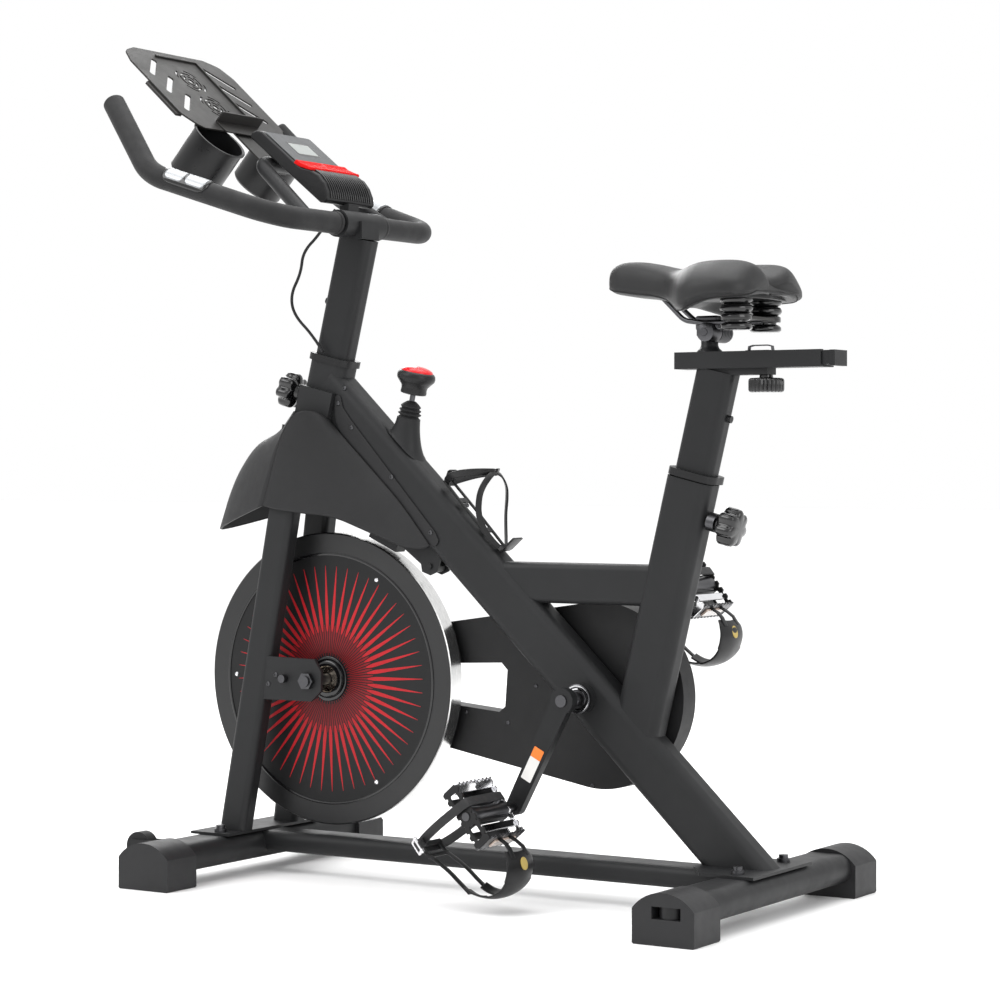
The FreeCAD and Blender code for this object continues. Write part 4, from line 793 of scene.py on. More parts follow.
def coons(s_, t):
    L, R, T, B_ = poly_at(crease, t), poly_at(rear, t), poly_at(top, s_), poly_at(bottom, s_)
    c00, c10, c01, c11 = crease[0], rear[0], crease[-1], rear[-1]
    return (1 - s_) * L + s_ * R + (1 - t) * T + t * B_ - ((1 - s_) * (1 - t) * c00 + s_ * (1 - t) * c10 + (1 - s_) * t * c01 + s_ * t * c11)


for side, sg in (("left", -1), ("right", 1)):
    bm = bmesh.new()
    NA, NB = 30, 30
    g = []
    for i in range(NB + 1):
        row = []
        for j in range(NA + 1):
            s_, t = j / NA, i / NB
            p = coons(s_, t)
            puff = 5.0 * math.sin(math.pi * s_) * math.sin(math.pi * min(1, t * 1.1)) ** 0.6 if t < 0.91 else 5.0 * math.sin(math.pi * s_) * max(0.0, math.sin(math.pi * min(1, t))) ** 0.6
            row.append(bm.verts.new(W(p.x, -sg * (p.y - puff), p.z)))
        g.append(row)
    for i in range(NB):
        for j in range(NA):
            bm.faces.new((g[i][j], g[i][j + 1], g[i + 1][j + 1], g[i + 1][j]))
    pan = from_bm(bm, "fender_panel_" + side, M_SHROUD)
    so = pan.modifiers.new("wall", "SOLIDIFY")
    so.thickness = 0.0026
    so.offset = -1 if sg < 0 else -1
    put(pan, "frame", "fender")
    # mounting strip down the side of the diagonal tube
    st = [(-266, 716), (-258, 716), (-246, 690), (-236, 678), (-86, 534 - 24), (-80, 497), (-88, 489), (-96, 492), (-250, 645), (-262, 668), (-268, 690)]
    st = [(-262, 712), (-252, 712), (-247, 694), (-233, 676), (-84, 512), (-78, 500), (-84, 492), (-98, 494), (-248, 650), (-259, 672), (-262, 690)]
    o = slab("fender_strip_" + side, round_poly(st, 5, 5), 0, 2.4, Matrix.Translation(W(0, sg * 25.1, 0)) @ Matrix(((1, 0, 0), (0, 0, sg), (0, 1, 0))).to_4x4(), M_SHROUD, 0.8)
    put(o, "frame", "fender")
    for (x, z) in ((-255, 700), (-231, 664), (-160, 592), (-92, 512)):
        screw_head("strip_screw_%s_%d" % (side, -x), W(x, sg * 27.5, z), YD * sg, 3.6, "frame", M_DARKSTEEL, 1.8)
    screw_head("fender_screw_%s" % side, W(-345, sg * 66.6, 566), YD * sg, 4.2, "frame", M_DARKSTEEL, 2.0)

# =================================================================== brake knob, boot and housing
bc = W(brk_x(712.2), 0, 712.2)
kb = lathe("brake_knob_skirt", [(0, 0), (15.5, 0), (18.6, 1.0), (19.2, 3.0), (18.6, 8.0), (19.4, 12.0), (24.0, 17.5), (27.6, 22.0), (28.2, 26.0), (27.4, 30.0), (25.2, 32.8), (23.0, 33.6), (0, 33.6)],
           bc, BRK, M_BLACK, 96)
put(kb, "brake_knob", "brake_knob")
dome = lathe("brake_knob_cap", [(23.6, 32.6), (23.4, 34.4), (21.6, 36.6), (17.0, 38.9), (10.0, 40.6), (4.0, 41.2), (0, 41.3)], bc, BRK, M_RED, 96)
put(dome, "brake_knob")
bootb = W(brk_x(680), 0, 680)
boot = lathe("brake_boot", [(15.6, -30), (16.0, -6), (16.4, -2), (13.4, 1.0), (17.0, 3.4), (17.2, 4.6), (13.6, 6.6), (16.0, 9.0), (16.2, 10.2), (12.8, 12.2), (14.8, 14.4), (14.8, 15.6), (11.4, 19.0), (6.6, 22.6), (4.4, 23.2)],
             bootb, BRK, M_RUBBER, 72)
put(boot, "frame", "brake_housing")
# flared housing blending into the tube
bm = bmesh.new()
rows = []
base_c = Vector((-150, 0, 495.9 + 0.9575 * 150))
NR, NK = 14, 48
for i in range(NR + 1):
    t = i / NR
    ring = []
    for k in range(NK):
        a = 2 * math.pi * k / NK
        ca, sa = math.cos(a), math.sin(a)
        # foot: a long rounded patch on the tube face; head: a round neck
        foot = Vector((base_c.x, 0, base_c.z)) + DG * (math.copysign(abs(ca) ** 0.8, ca) * 43 - 4) + Vector((0, math.copysign(abs(sa) ** 0.8, sa) * 22, 0)) - DN * 1.0
        neck = Vector((brk_x(678), 0, 678)) + Vector((hc * 0 + BRK.z, 0, -BRK.x)) * (ca * 17.2) + Vector((0, sa * 17.2, 0))
        e = t ** 0.55
        p = foot.lerp(neck, t)
        flare = (1 - t) ** 2.2
        mid = Vector((brk_x(640), 0, 640)) + Vector((BRK.z, 0, -BRK.x)) * (ca * 20) + Vector((0, sa * 19, 0))
        q = foot * flare + mid * (1 - flare) * (1 - t) + neck * (1 - flare) * t
        q = q / (flare + (1 - flare) * (1 - t) + (1 - flare) * t)
        ring.append(bm.verts.new(W(q.x, q.y, q.z)))
    rows.append(ring)
for i in range(NR):
    for k in range(NK):
        bm.faces.new((rows[i][k], rows[i][(k + 1) % NK], rows[i + 1][(k + 1) % NK], rows[i + 1][k]))
bm.faces.new(rows[-1])
bh = from_bm(bm, "brake_housing_shell", M_FRAME)
put(bh, "frame", "brake_housing")

# =================================================================== lobed knobs


def lobed(theta, r, h, n=8, depth=0.16, start=11):
    if r < start:
        return r
    return r * (1 - depth * (0.5 - 0.5 * math.cos(n * theta)) ** 1.5)


for nm, x0, z0, dr, o in (("head", head_x(705), 705, HF, 45.6), ("seat", seat_x(541), 541, SR, 47.6)):
    prof = [(5.1, 4), (11.5, 1.5), (12.5, 3.5), (12.8, 5), (13.8, 6.5), (21.5, 8.0), (25.0, 10.0), (26.6, 12.5), (26.8, 26), (26.0, 31.0), (23.4, 33.4), (19.5, 34.6), (12.0, 35.3), (0, 35.5)]
    k = lathe(nm + "_knob_lobed", prof, W(x0, 0, z0) + dr * (o / 1000.0), dr, M_GLOSS, 120, rfun=lambda t, r, h: lobed(t, r, h, 7, 0.2, 15))
    put(k, nm + "_knob", nm + "_knob")
sk = lathe("slider_knob_ribbed", [(4.2, 35.2), (4.2, 24.4), (9, 24), (9.4, 20.5), (11, 20), (21.5, 19.4), (23.4, 18.2), (24.2, 16.0), (24.2, 4.0), (23.2, 1.4), (21.0, 0.2), (0, 0.2)],
           W(432, 0, 707), ZD, M_GLOSS, 192, rfun=lambda t, r, h: r * (1 - 0.075 * (0.5 + 0.5 * math.cos(24 * t)) ** 2) if r > 20.5 else r)
put(sk, "slider_knob", "slider_knob")

# =================================================================== saddle
SAD = [  # x, half width, centre top, lobe top, rim bottom
    (193.5, 5, 866, 866, 858), (197, 15, 879, 879, 851), (205, 21, 886, 886, 846), (220, 26, 889.5, 889.5, 843), (245, 28, 889, 889, 839), (270, 30, 885, 885, 836),
    (292, 35, 880, 879, 831), (307, 45, 877, 877, 824), (321, 62, 875.5, 878, 816), (335, 82, 874, 881, 811), (350, 98, 873, 884.5, 811), (368, 106, 872, 887, 819),
    (392, 108, 870.5, 887.5, 826), (415, 106, 868, 886.5, 828), (430, 100, 864, 883.5, 829), (440, 91, 860, 878, 831), (446, 80, 855, 869, 835), (449, 66, 849, 858, 841)]
secs = [Vector(s_) for s_ in [(a, b, c) for a, b, c, d, e in SAD]]
secs2 = [Vector((0, d, e)) for a, b, c, d, e in SAD]
bm = bmesh.new()
NR, NK = 88, 96
rings, seam = [], []
for i in range(NR + 1):
    t = i / NR
    a, b = poly_at(secs, t), poly_at(secs2, t)
    x, w, zc, zl, zb = a.x, max(a.y, 3), a.z, b.y, b.z
    wing = min(1.0, max(0.0, (w - 40) / 50.0))
    zmid = zb + 0.34 * (zc - zb)
    ring = []
    for k in range(NK):
        th = 2 * math.pi * k / NK
        c_, s_ = math.cos(th), math.sin(th)
        y = w * math.copysign(abs(c_) ** 0.82, c_)
        u = abs(y) / w
        if s_ >= 0:
            lobe = math.sin(math.pi * min(1.0, u / 1.16)) ** 2
            zt = zc + (zl - zc) * lobe * 1.0
            z = zmid + (zt - zmid) * s_ ** 0.72
        else:
            pan = 838.0
            e = min(1.0, max(0.0, (u - 0.35) / 0.5))
            e = e * e * (3 - 2 * e)
            zbb = zb if wing == 0 else (1 - wing) * zb + wing * (pan + (zb - pan) * e)
            z = zmid - (zmid - zbb) * (-s_) ** 0.6
        notch = 0.0
        if x > 415:
            notch = -14.0 * ((x - 415) / 36.0) ** 1.5 * max(0.0, 1 - u / 0.5) ** 1.4
        ring.append(bm.verts.new(W(x + notch, y, z)))
    rings.append(ring)
for i in range(NR):
    for k in range(NK):
        bm.faces.new((rings[i][k], rings[i][(k + 1) % NK], rings[i + 1][(k + 1) % NK], rings[i + 1][k]))
bm.faces.new(rings[0])
bm.faces.new(list(reversed(rings[-1])))
rim = [r[int(NK * 0.905)].co.copy() for r in rings[4:-2]] + [r[int(NK * 0.595)].co.copy() for r in reversed(rings[4:-2])]
sad = from_bm(bm, "saddle", M_SADDLE, True, 70)
put(sad, "saddle", "saddle_cushion")
mid = sum(rim, Vector()) / len(rim)
bm = bmesh.new()
nn = len(rim)
tube = []
for i in range(nn):
    p = rim[i]
    d = (rim[(i + 1) % nn] - rim[i - 1]).normalized()
    x = (ZD - d * ZD.dot(d)).normalized()
    y = d.cross(x)
    tube.append([bm.verts.new(p + (x * math.cos(q) + y * math.sin(q)) * 0.0011) for q in [2 * math.pi * k / 8 for k in range(8)]])
for i in range(nn):
    for k in range(8):
        bm.faces.new((tube[i][k], tube[i][(k + 1) % 8], tube[(i + 1) % nn][(k + 1) % 8], tube[(i + 1) % nn][k]))
pip = from_bm(bm, "saddle_piping", M_RUBBER)
put(pip, "saddle")
# springs, rails, plates under the saddle
for side, sg in (("left", -1), ("right", 1)):
    prof = [(0, 785), (19, 785), (21.5, 787.5), (21.5, 792), (19, 795), (15, 796.5), (15, 798.5), (20.5, 799.5), (21, 802), (21, 807), (19.5, 808.6), (16.5, 809.5), (20.5, 811.5),
            (22.4, 815), (22.4, 818), (20.5, 821.5), (16.8, 823.2), (20.6, 825), (22.2, 828), (22.2, 831), (20, 834.5), (17, 838), (0, 838)]
    prof = [(r_, 790 + (h_ - 785) * 48 / 53.0) for r_, h_ in prof]
    e = lathe("spring_" + side, prof, W(409, sg * 43, 0), ZD, M_GLOSS, 64, angle=50)
    put(e, "saddle", "saddle_frame")
    pts = smooth_path([W(414, sg * 22, 803), W(348, sg * 22, 802), W(316, sg * 17, 806), W(272, sg * 12, 846)], [0.03, 0.03])
    rl = sweep("saddle_rail_" + side, pts, ring_section(3.5, 16), M_DARKSTEEL)
    put(rl, "saddle")
pl = slab("spring_plate", round_poly([(390, -60), (428, -60), (428, 60), (390, 60)], 14), 804.4, 809.0, Matrix.Translation(W(0, 0, 0)), M_PLATE, 0.8)
put(pl, "saddle")
pn = slab("saddle_pan", round_poly([(312, -46), (356, -84), (428, -78), (438, 0), (428, 78), (356, 84), (312, 46)], 14), 832.0, 840.0, Matrix.Translation(W(0, 0, 0)), M_BLACK, 1.5)
put(pn, "saddle")
# serrated clamp on the pillar
prof = [(0, -32), (4.6, -32), (5.0, -31), (7.5, -31), (12.6, -29), (13.2, -27), (13.2, -4)]
for k in range(7):
    y0 = -2 + k * 4.4
    prof += [(10.2, y0), (10.2, y0 + 1.2), (13.0, y0 + 1.6), (13.0, y0 + 3.6)]
prof += [(12.4, 30.5), (0, 30.5)]
cl = lathe("saddle_clamp", prof, W(354, 0, 789), YD, M_DARKSTEEL, 48)
put(cl, "saddle")
cb = box("saddle_clamp_block", (34, 36, 20), Matrix.Translation(W(350, 0, 802)), M_DARKSTEEL, 3.0)
put(cb, "saddle")
cn = lathe("pillar_collar", [(11.2, 783), (11.8, 782), (11.8, 772), (13.5, 768), (17.0, 765), (17.5, 763.4), (11, 763.4)], W(346, 0, 0), ZD, M_FRAME2, 48)
put(cn, "seat_slider")
cp = sweep("slider_clip", [W(413, -14, 762), W(414, -14, 768.5), W(420, -14, 770), W(442, -14, 770), W(448, -14, 768.5), W(449, -14, 762)], flat_section(8, 1.6), M_DARKSTEEL, up=YD)
put(cp, "seat_slider")

# =================================================================== handlebar
tipL, elL, coL = W(-534, -200, 1139), W(-436, -239, 1028), W(-240, -200, 962)
tipR, elR, coR = W(-534, 200, 1139), W(-436, 239, 1028), W(-240, 200, 962)
for side, sg, T, E, C_ in (("left", -1, tipL, elL, coL), ("right", 1, tipR, elR, coR)):
    path = smooth_path([T, E, C_, W(-240, sg * 54, 962)], [0.07, 0.06], 18)
    g = sweep("bar_foam_" + side, path, ring_section(16.2, 36), M_FOAM)
    put(g, "handlebar_assembly", "handlebar")
    d = (T - E).normalized()
    cap = lathe("bar_end_" + side, [(16.2, 0), (16.0, 2.0), (14.6, 3.8), (11, 5.0), (5, 5.6), (0, 5.7)], T, d, M_RUBBER, 36)
    put(cap, "handlebar_assembly")
    lip = lathe("foam_lip_" + side, [(14.9, 0), (17.0, 0.2), (17.6, 1.5), (17.6, 4.5), (17.0, 6.0), (16.2, 6.4)], W(-240, sg * 54, 962), YD * sg, M_RUBBER, 40)
    put(lip, "handlebar_assembly")
mid_ = sweep("bar_middle", [W(-240, -60, 962), W(-240, 60, 962)], ring_section(15.0, 32), M_FRAME2)
put(mid_, "handlebar_assembly")
# gloss-black blocks on the clamp face: painted shade standing in for the two recessed bolt pockets
for k, y in enumerate((-9, 9)):
    b_ = box("clamp_pocket_painted_shade_%d" % k, (3, 9, 7), Matrix.Translation(W(-220.2, y, 960)), M_GLOSS, 0.8)
    put(b_, "handlebar_assembly")
# pulse sensors: metal half sleeves in dark bezels
for side, sg in (("left", -1), ("right", 1)):
    a_, b_ = W(-240, sg * 200, 962), W(-436, sg * 239, 1028)
    d = (b_ - a_).normalized()
    up = (ZD - d * ZD.dot(d)).normalized()
    sd = d.cross(up)
    for nm, r0, r1, l0, l1, half, mt in (("bezel", 16.0, 17.6, 108, 184, 100, M_GLOSS), ("metal", 16.2, 18.3, 113, 145.5, 80, M_ALU), ("metal2", 16.2, 18.3, 148.5, 179, 80, M_ALU)):
        bm = bmesh.new()
        NA = 24
        rowsA = []
        nl = 14
        for i in range(nl + 1):
            t = i / nl
            l = (l0 + (l1 - l0) * t) / 1000.0
            h = half * (1.0 if nm == "bezel" else 1.0) * (1 - abs(2 * t - 1) ** 8 * 0.35)
            row = []
            for k in range(NA + 1):
                q = math.radians(-h + 2 * h * k / NA)
                row.append(bm.verts.new(a_ + d * l + (up * math.cos(q) + sd * math.sin(q)) * (r1 / 1000.0)))
            rowsA.append(row)
        for i in range(nl):
            for k in range(NA):
                bm.faces.new((rowsA[i][k], rowsA[i][k + 1], rowsA[i + 1][k + 1], rowsA[i + 1][k]))
        o = from_bm(bm, "pulse_%s_%s" % (nm, side), mt)
        s_ = o.modifiers.new("wall", "SOLIDIFY")
        s_.thickness = 0.0016
        s_.offset = -1
        put(o, "handlebar_assembly", "pulse_sensors")

# =================================================================== console
XZ = Matrix(((1, 0, 0), (0, 0, -1), (0, 1, 0)))      # local x, y, z -> X, Z, -Y
con = [(-392, 1095.2), (-389, 1102), (-380, 1105.2), (-370, 1103), (-303, 1048.4), (-296, 1045.0), (-281, 1041), (-268, 1034), (-258, 1022), (-252, 1008), (-250.5, 996), (-256, 991.6), (-264, 992.6)]
o = slab("console_shell", round_poly(con, [3, 3, 3, 3, 2, 3, 6, 7, 8, 8, 4, 3, 4], 4), -60, 60, Matrix.Translation(W(0, 0, 0)) @ XZ.to_4x4(), M_BLACK, 3.2, segs=4)
put(o, "handlebar_assembly", "console_housing")
cdir, cn_ = dirv(-0.7754, 0, 0.6315), dirv(0.6315, 0, 0.7754)
CM = Matrix((YD, cdir, cn_)).transposed()
if CM.determinant() < 0:
    CM = Matrix((-YD, cdir, cn_)).transposed()
c0 = W(-303, 0, 1048.6)
FM = place(CM, c0)
o = slab("console_face_plate", round_poly([(-55, 2), (55, 2), (55, 84), (-55, 84)], 5), 0.1, 1.7, FM, M_FACE, 0.5)
put(o, "handlebar_assembly", "console_face")
o = slab("console_lcd", round_poly([(-25, 33), (25, 33), (25, 60), (-25, 60)], 2.5), 1.6, 2.2, FM, M_LCD, 0.2)
put(o, "handlebar_assembly")
o = slab("console_lcd_frame", round_poly([(-28, 30), (28, 30), (28, 63), (-28, 63)], 3), 1.5, 1.9, FM, M_GLOSS, 0.2)
put(o, "handlebar_assembly")
band = [(-311, 1053.0), (-306, 1058.0), (-299, 1052.5), (-289, 1048.2), (-279, 1044.6), (-279, 1040.4), (-290, 1043.6), (-300, 1046.8)]
o = slab("console_band", round_poly(band, [1, 2, 3, 3, 1, 1, 3, 3], 4), -61.5, 61.5, Matrix.Translation(W(0, 0, 0)) @ XZ.to_4x4(), M_REDTRIM, 1.0)
put(o, "handlebar_assembly")
btn = lathe("mode_button_cap", [(6.9, -3), (6.9, 4.6), (6.2, 5.4), (3.5, 5.9), (0, 6.0)], W(-303, 0, 1048.3), cn_, M_RED, 40)
put(btn, "mode_button", "mode_button")
for k in range(19):
    y = -49.5 + 5.5 * k
    pts = [W(-279, y, 1041.2), W(-267.5, y, 1034.2), W(-258.2, y, 1022.4), W(-252.2, y, 1008.6), W(-250.6, y, 999)]
    pts = [poly_at(pts, q / 12.0) for q in range(13)]
    r = sweep("console_rib_%02d" % k, pts, flat_section(2.4, 2.8), M_GLOSS, up=YD)
    put(r, "handlebar_assembly")

# =================================================================== tablet plate
tl, tn = dirv(-0.743, 0, 0.669), dirv(0.669, 0, 0.743)
PM = place(Matrix((YD, tl, tn)).transposed(), W(-449, 0, 1108))


def arc(x, y, r, a0, a1, n=8):
    return [(x + r * math.cos(math.radians(a0 + (a1 - a0) * k / n)), y + r * math.sin(math.radians(a0 + (a1 - a0) * k / n))) for k in range(n + 1)]


def arc_slot(x, y, r0, r1, a0, a1):
    return arc(x, y, r0, a0, a1) + list(reversed(arc(x, y, r1, a0, a1)))


holes = []
for lx, ly in ((80, 150), (80, 107), (78, 64)):
    for sg in (-1, 1):
        r_ = math.radians(-45 * sg)
        q = round_poly([(-31, -5), (31, -5), (31, 5), (-31, 5)], 3.5, 4)
        holes.append([(sg * lx + a * math.cos(r_) - b * math.sin(r_), ly + a * math.sin(r_) + b * math.cos(r_)) for a, b in q])
for cy in (128, 64):
    holes.append(arc(-10, cy, 5.5, 0, 345, 23))
    for a0 in (20, 110, 200, 290):
        holes.append(arc_slot(-10, cy, 9.5, 13.5, a0, a0 + 66))
        holes.append(arc_slot(-10, cy, 17.0, 21.0, a0 + 35, a0 + 108))
        holes.append(arc_slot(-10, cy, 24.5, 28.0, a0 + 10, a0 + 60))
out = [(-106, 6), (-96, 0), (96, 0), (106, 6), (124, 30), (125, 36), (125, 158), (113, 186), (84, 198), (-84, 198), (-113, 186), (-125, 158), (-125, 36), (-124, 30)]
o = slab("tablet_plate_sheet", round_poly(out, [6, 6, 6, 6, 4, 4, 14, 18, 14, 14, 18, 14, 4, 4], 5), 0, 2.5, PM, M_PLATE, 0.5, holes=holes)
put(o, "handlebar_assembly", "tablet_plate")
for k, sg in enumerate((-1, 1)):
    o = slab("plate_wing_%d" % k, round_poly([(sg * 118, 31), (sg * 132, 31), (sg * 132, 108), (sg * 118, 116)], 2), -4.5, -0.5, PM, M_PLATE, 0.6)
    put(o, "handlebar_assembly")
for nm, pts_ in (("top", [(-46, 181), (50, 181), (53, 185), (-46, 185)]), ("side", [(49.5, 40), (53, 40), (53, 185), (49.5, 182)]), ("lip", [(-50, 20), (52, 20), (52, 23), (-50, 23)])):
    o = slab("plate_rib_" + nm, pts_, 2.4, 22.0 if nm == "lip" else 5.6, PM, M_PLATE, 0.6)
    put(o, "handlebar_assembly")
o = slab("plate_tray", round_poly([(-50, -4), (52, -4), (52, 23), (-50, 23)], 2), 2.5, 4.6, PM, M_PLATE, 0.5)
put(o, "handlebar_assembly")
o = slab("plate_stay", round_poly([(-20, -90), (20, -90), (20, 20), (-20, 20)], 3), -3.0, -0.1, PM, M_PLATE, 0.6)
put(o, "handlebar_assembly")

# =================================================================== pedals with cages, clips and straps
M_CLEAR = plastic("reflector_lens", (0.50, 0.40, 0.34), 0.15, 300, 0.1, coatw=1.0)


def pedal(side, sg, c):
    org = W(c[0], sg * 160, c[1])
    yv = YD * (-sg)                      # local y runs inboard
    PMx = place(Matrix((FD, yv, ND)).transposed(), org)
    body = "pedal_" + side

    def P_(f, y, n):
        return PMx @ Vector((f / 1000.0, y / 1000.0, n / 1000.0))
    fy = (PMx.to_3x3() @ Vector((0, 1, 0))).normalized()
    # axle barrel, with end cap
    b1 = lathe("pedal_barrel_" + side, [(0, -43), (8, -43), (11.5, -41), (13, -36), (12, -22), (10.5, 0), (11.5, 26), (14.5, 38), (14.5, 44), (0, 44)], org, fy, M_DARKSTEEL, 36)
    put(b1, body, "pedal_" + side)
    # serrated front and rear plates
    for nm, f0 in (("front", 44), ("rear", -44)):
        teeth = []
        nT = 9
        for k in range(nT):
            y = -44 + 88.0 * k / nT
            teeth += [(y, 11.5), (y + 2.2, 16.5), (y + 7.0, 16.5), (y + 7.6, 11.5)]
        teeth.append((44, 11.5))
        low = [(-y, -z) for y, z in teeth]
        o = slab("pedal_%s_plate_%s" % (nm, side), teeth + low, -1.2, 1.2, place(Matrix((yv, ND, yv.cross(ND))).transposed(), P_(f0, 0, 0)), M_CHROME if nm == "rear" else M_DARKSTEEL, 0.3)
        put(o, body)
    # end plates with windows, and the ribs between them
    for nm, y0, mt in (("outer", -43, M_BLACK), ("inner", 43, M_CHROME)):
        ol = []
        for k in range(8):
            f0 = -45 + 11.4 * k
            ol += [(f0, 10.5), (f0 + 2.5, 14.0), (f0 + 8.0, 14.0), (f0 + 9.5, 10.5)]
        ol.append((46, 10.5))
        lo = [(-a, -b) for a, b in ol]
        hs_ = [round_poly([(14, -6), (36, -6), (36, 6), (14, 6)], 3, 3), round_poly([(-36, -6), (-14, -6), (-14, 6), (-36, 6)], 3, 3)]
        o = slab("pedal_%s_end_%s" % (nm, side), ol + lo, -1.5, 1.5, place(Matrix((FD, ND, FD.cross(ND))).transposed(), P_(0, y0, 0)), mt, 0.4, holes=hs_)
        put(o, body)
    for k, (f0, n0) in enumerate(((27, -9), (-27, -9), (27, 9), (-27, 9))):
        o = box("pedal_rib_%s_%d" % (side, k), (11, 82, 2.6), place(Matrix((FD, yv, FD.cross(yv))).transposed(), P_(f0, 0, n0)), M_CHROME if n0 < 0 else M_BLACK, 0.8)
        put(o, body)
    for k, f0 in enumerate((46.6, -46.6)):
        o = box("pedal_reflector_%s_%d" % (side, k), (3.2, 52, 14), place(Matrix((FD, yv, FD.cross(yv))).transposed(), P_(f0, 2, 0)), M_CLEAR, 1.0)
        put(o, body)
    o = box("pedal_core_%s" % side, (30, 76, 9), place(Matrix((FD, yv, FD.cross(yv))).transposed(), P_(0, 0, 0)), M_BLACK, 2.0)
    put(o, body)
    # toe cap: one curved strap, pierced, with two legs and two arms
    spine = [Vector(p) for p in ((72, 0, -13), (84, 0, -12), (96, 0, -5), (106, 0, 8), (111, 0, 24), (109, 0, 40), (101, 0, 56), (88, 0, 69), (74, 0, 76))]
    wid = [27, 31, 33, 33, 32, 31, 30, 29, 29]
    bm = bmesh.new()
    NTt, NW = 32, 14
    gr = []
    for i in range(NTt + 1):
        t = i / NTt
        p = poly_at(spine, t)
        w = poly_at([Vector((q, 0, 0)) for q in wid], t).x
        if t < 0.12:
            w *= 0.86 + 0.14 * (t / 0.12)
        row = []
        for j in range(NW + 1):
            u = -1 + 2.0 * j / NW
            q = P_(p.x - 5.0 * u * u, w * u, p.z + (3.0 * u * u if p.z < 10 else -3.0 * u * u if p.z > 50 else 0))
            row.append(bm.verts.new(q))
        gr.append(row)
    for i in range(NTt):
        for j in range(NW):
            t = (i + 0.5) / NTt
            u = abs(-1 + 2.0 * (j + 0.5) / NW)
            if t > 0.80 and u < 0.42:
                continue
            bm.faces.new((gr[i][j], gr[i][j + 1], gr[i + 1][j + 1], gr[i + 1][j]))
    o = from_bm(bm, "toe_cap_" + side, M_BLACK, True, 60)
    so = o.modifiers.new("wall", "SOLIDIFY")
    so.thickness = 0.0026
    so.offset = 0
    bv = o.modifiers.new("edge", "BEVEL")
    bv.width = 0.0006
    bv.segments = 2
    bv.limit_method = "ANGLE"
    put(o, body, "toe_clip_" + side)
    for k, y0 in enumerate((-17, 17)):
        o = sweep("toe_leg_%s_%d" % (side, k), [P_(42, y0 * 0.8, -6), P_(56, y0 * 0.85, -12), P_(66, y0, -14), P_(80, y0 * 1.1, -12.2)], flat_section(9, 2.4), M_BLACK, up=fy)
        put(o, body)
    for k, y0 in enumerate((-22, 22)):
        pts_ = [Vector(q) for q in ((80, y0 * 1.02, 72.8), (58, y0, 78), (36, y0, 83), (14, y0, 91), (-4, y0, 98), (-20, y0, 99))]
        o = sweep("toe_arm_%s_%d" % (side, k), [P_(*poly_at(pts_, q / 16.0)) for q in range(17)], flat_section(9, 2.6), M_BLACK, up=fy)
        put(o, body)
    o = sweep("toe_arm_bridge_%s" % side, [P_(-18, -27, 98.5), P_(-18, 27, 98.5)], flat_section(8, 3.2), M_BLACK, up=FD)
    put(o, body)
    o = sweep("toe_arm_bridge2_%s" % side, [P_(2, -27, 96.5), P_(2, 27, 96.5)], flat_section(6, 3.0), M_BLACK, up=FD)
    put(o, body)
    # blank oval badge
    em = slab("toe_badge_" + side, [(9.0 * math.cos(q), 8.0 * math.sin(q)) for q in [2 * math.pi * k / 40 for k in range(40)]], 0, 1.4,
              place(Matrix((dirv(*((P_(1, 0, 0.45) - P_(0, 0, 0)))), yv, dirv(*((P_(1, 0, 0.45) - P_(0, 0, 0)))).cross(yv))).transposed(), P_(90, 0, -10.6)), M_YELLOW, 0.5)
    put(em, body)
    # strap round the pedal and over the foot
    ring = [Vector(q) for q in ((-14, -40, -15.5), (-14, -49, -10), (-14, -52, 6), (-14, -54, 34), (-14, -51, 62), (-14, -42, 86), (-14, -28, 100), (-14, 0, 103.5), (-14, 28, 100), (-14, 41, 86), (-14, 48, 60),
                                  (-14, 49, 30), (-14, 48, 6), (-14, 46, -10), (-14, 38, -15.5), (-14, 0, -16.5))]
    bm = bmesh.new()
    n_ = len(ring)
    rr = []
    M_ = 96
    for i in range(M_):
        x = i / M_ * n_
        k = int(x)
        f = x - k
        p0, p1, p2, p3 = ring[(k - 1) % n_], ring[k % n_], ring[(k + 1) % n_], ring[(k + 2) % n_]
        p = 0.5 * ((2 * p1) + (p2 - p0) * f + (2 * p0 - 5 * p1 + 4 * p2 - p3) * f * f + (3 * p1 - p0 - 3 * p2 + p3) * f ** 3)
        dd = 0.5 * ((p2 - p0) + 2 * (2 * p0 - 5 * p1 + 4 * p2 - p3) * f + 3 * (3 * p1 - p0 - 3 * p2 + p3) * f * f)
        nrm = Vector((0, dd.z, -dd.y)).normalized()
        rr.append([bm.verts.new(P_(*(p + Vector((a, 0, 0)) + nrm * b))) for a, b in flat_section(13, 2.2)])
    m_ = len(rr[0])
    for i in range(M_):
        for k in range(m_):
            bm.faces.new((rr[i][k], rr[i][(k + 1) % m_], rr[(i + 1) % M_][(k + 1) % m_], rr[(i + 1) % M_][k]))
    o = from_bm(bm, "strap_" + side, M_STRAP)
    put(o, body)
    o = sweep("strap_tail_" + side, [P_(*q) for q in ((-14, -44, 87), (-14, -40, 96), (-12, -46, 76), (-8, -62, 70), (-4, -70, 70))][1:], flat_section(12, 1.8), M_STRAP, up=FD)
    put(o, body)
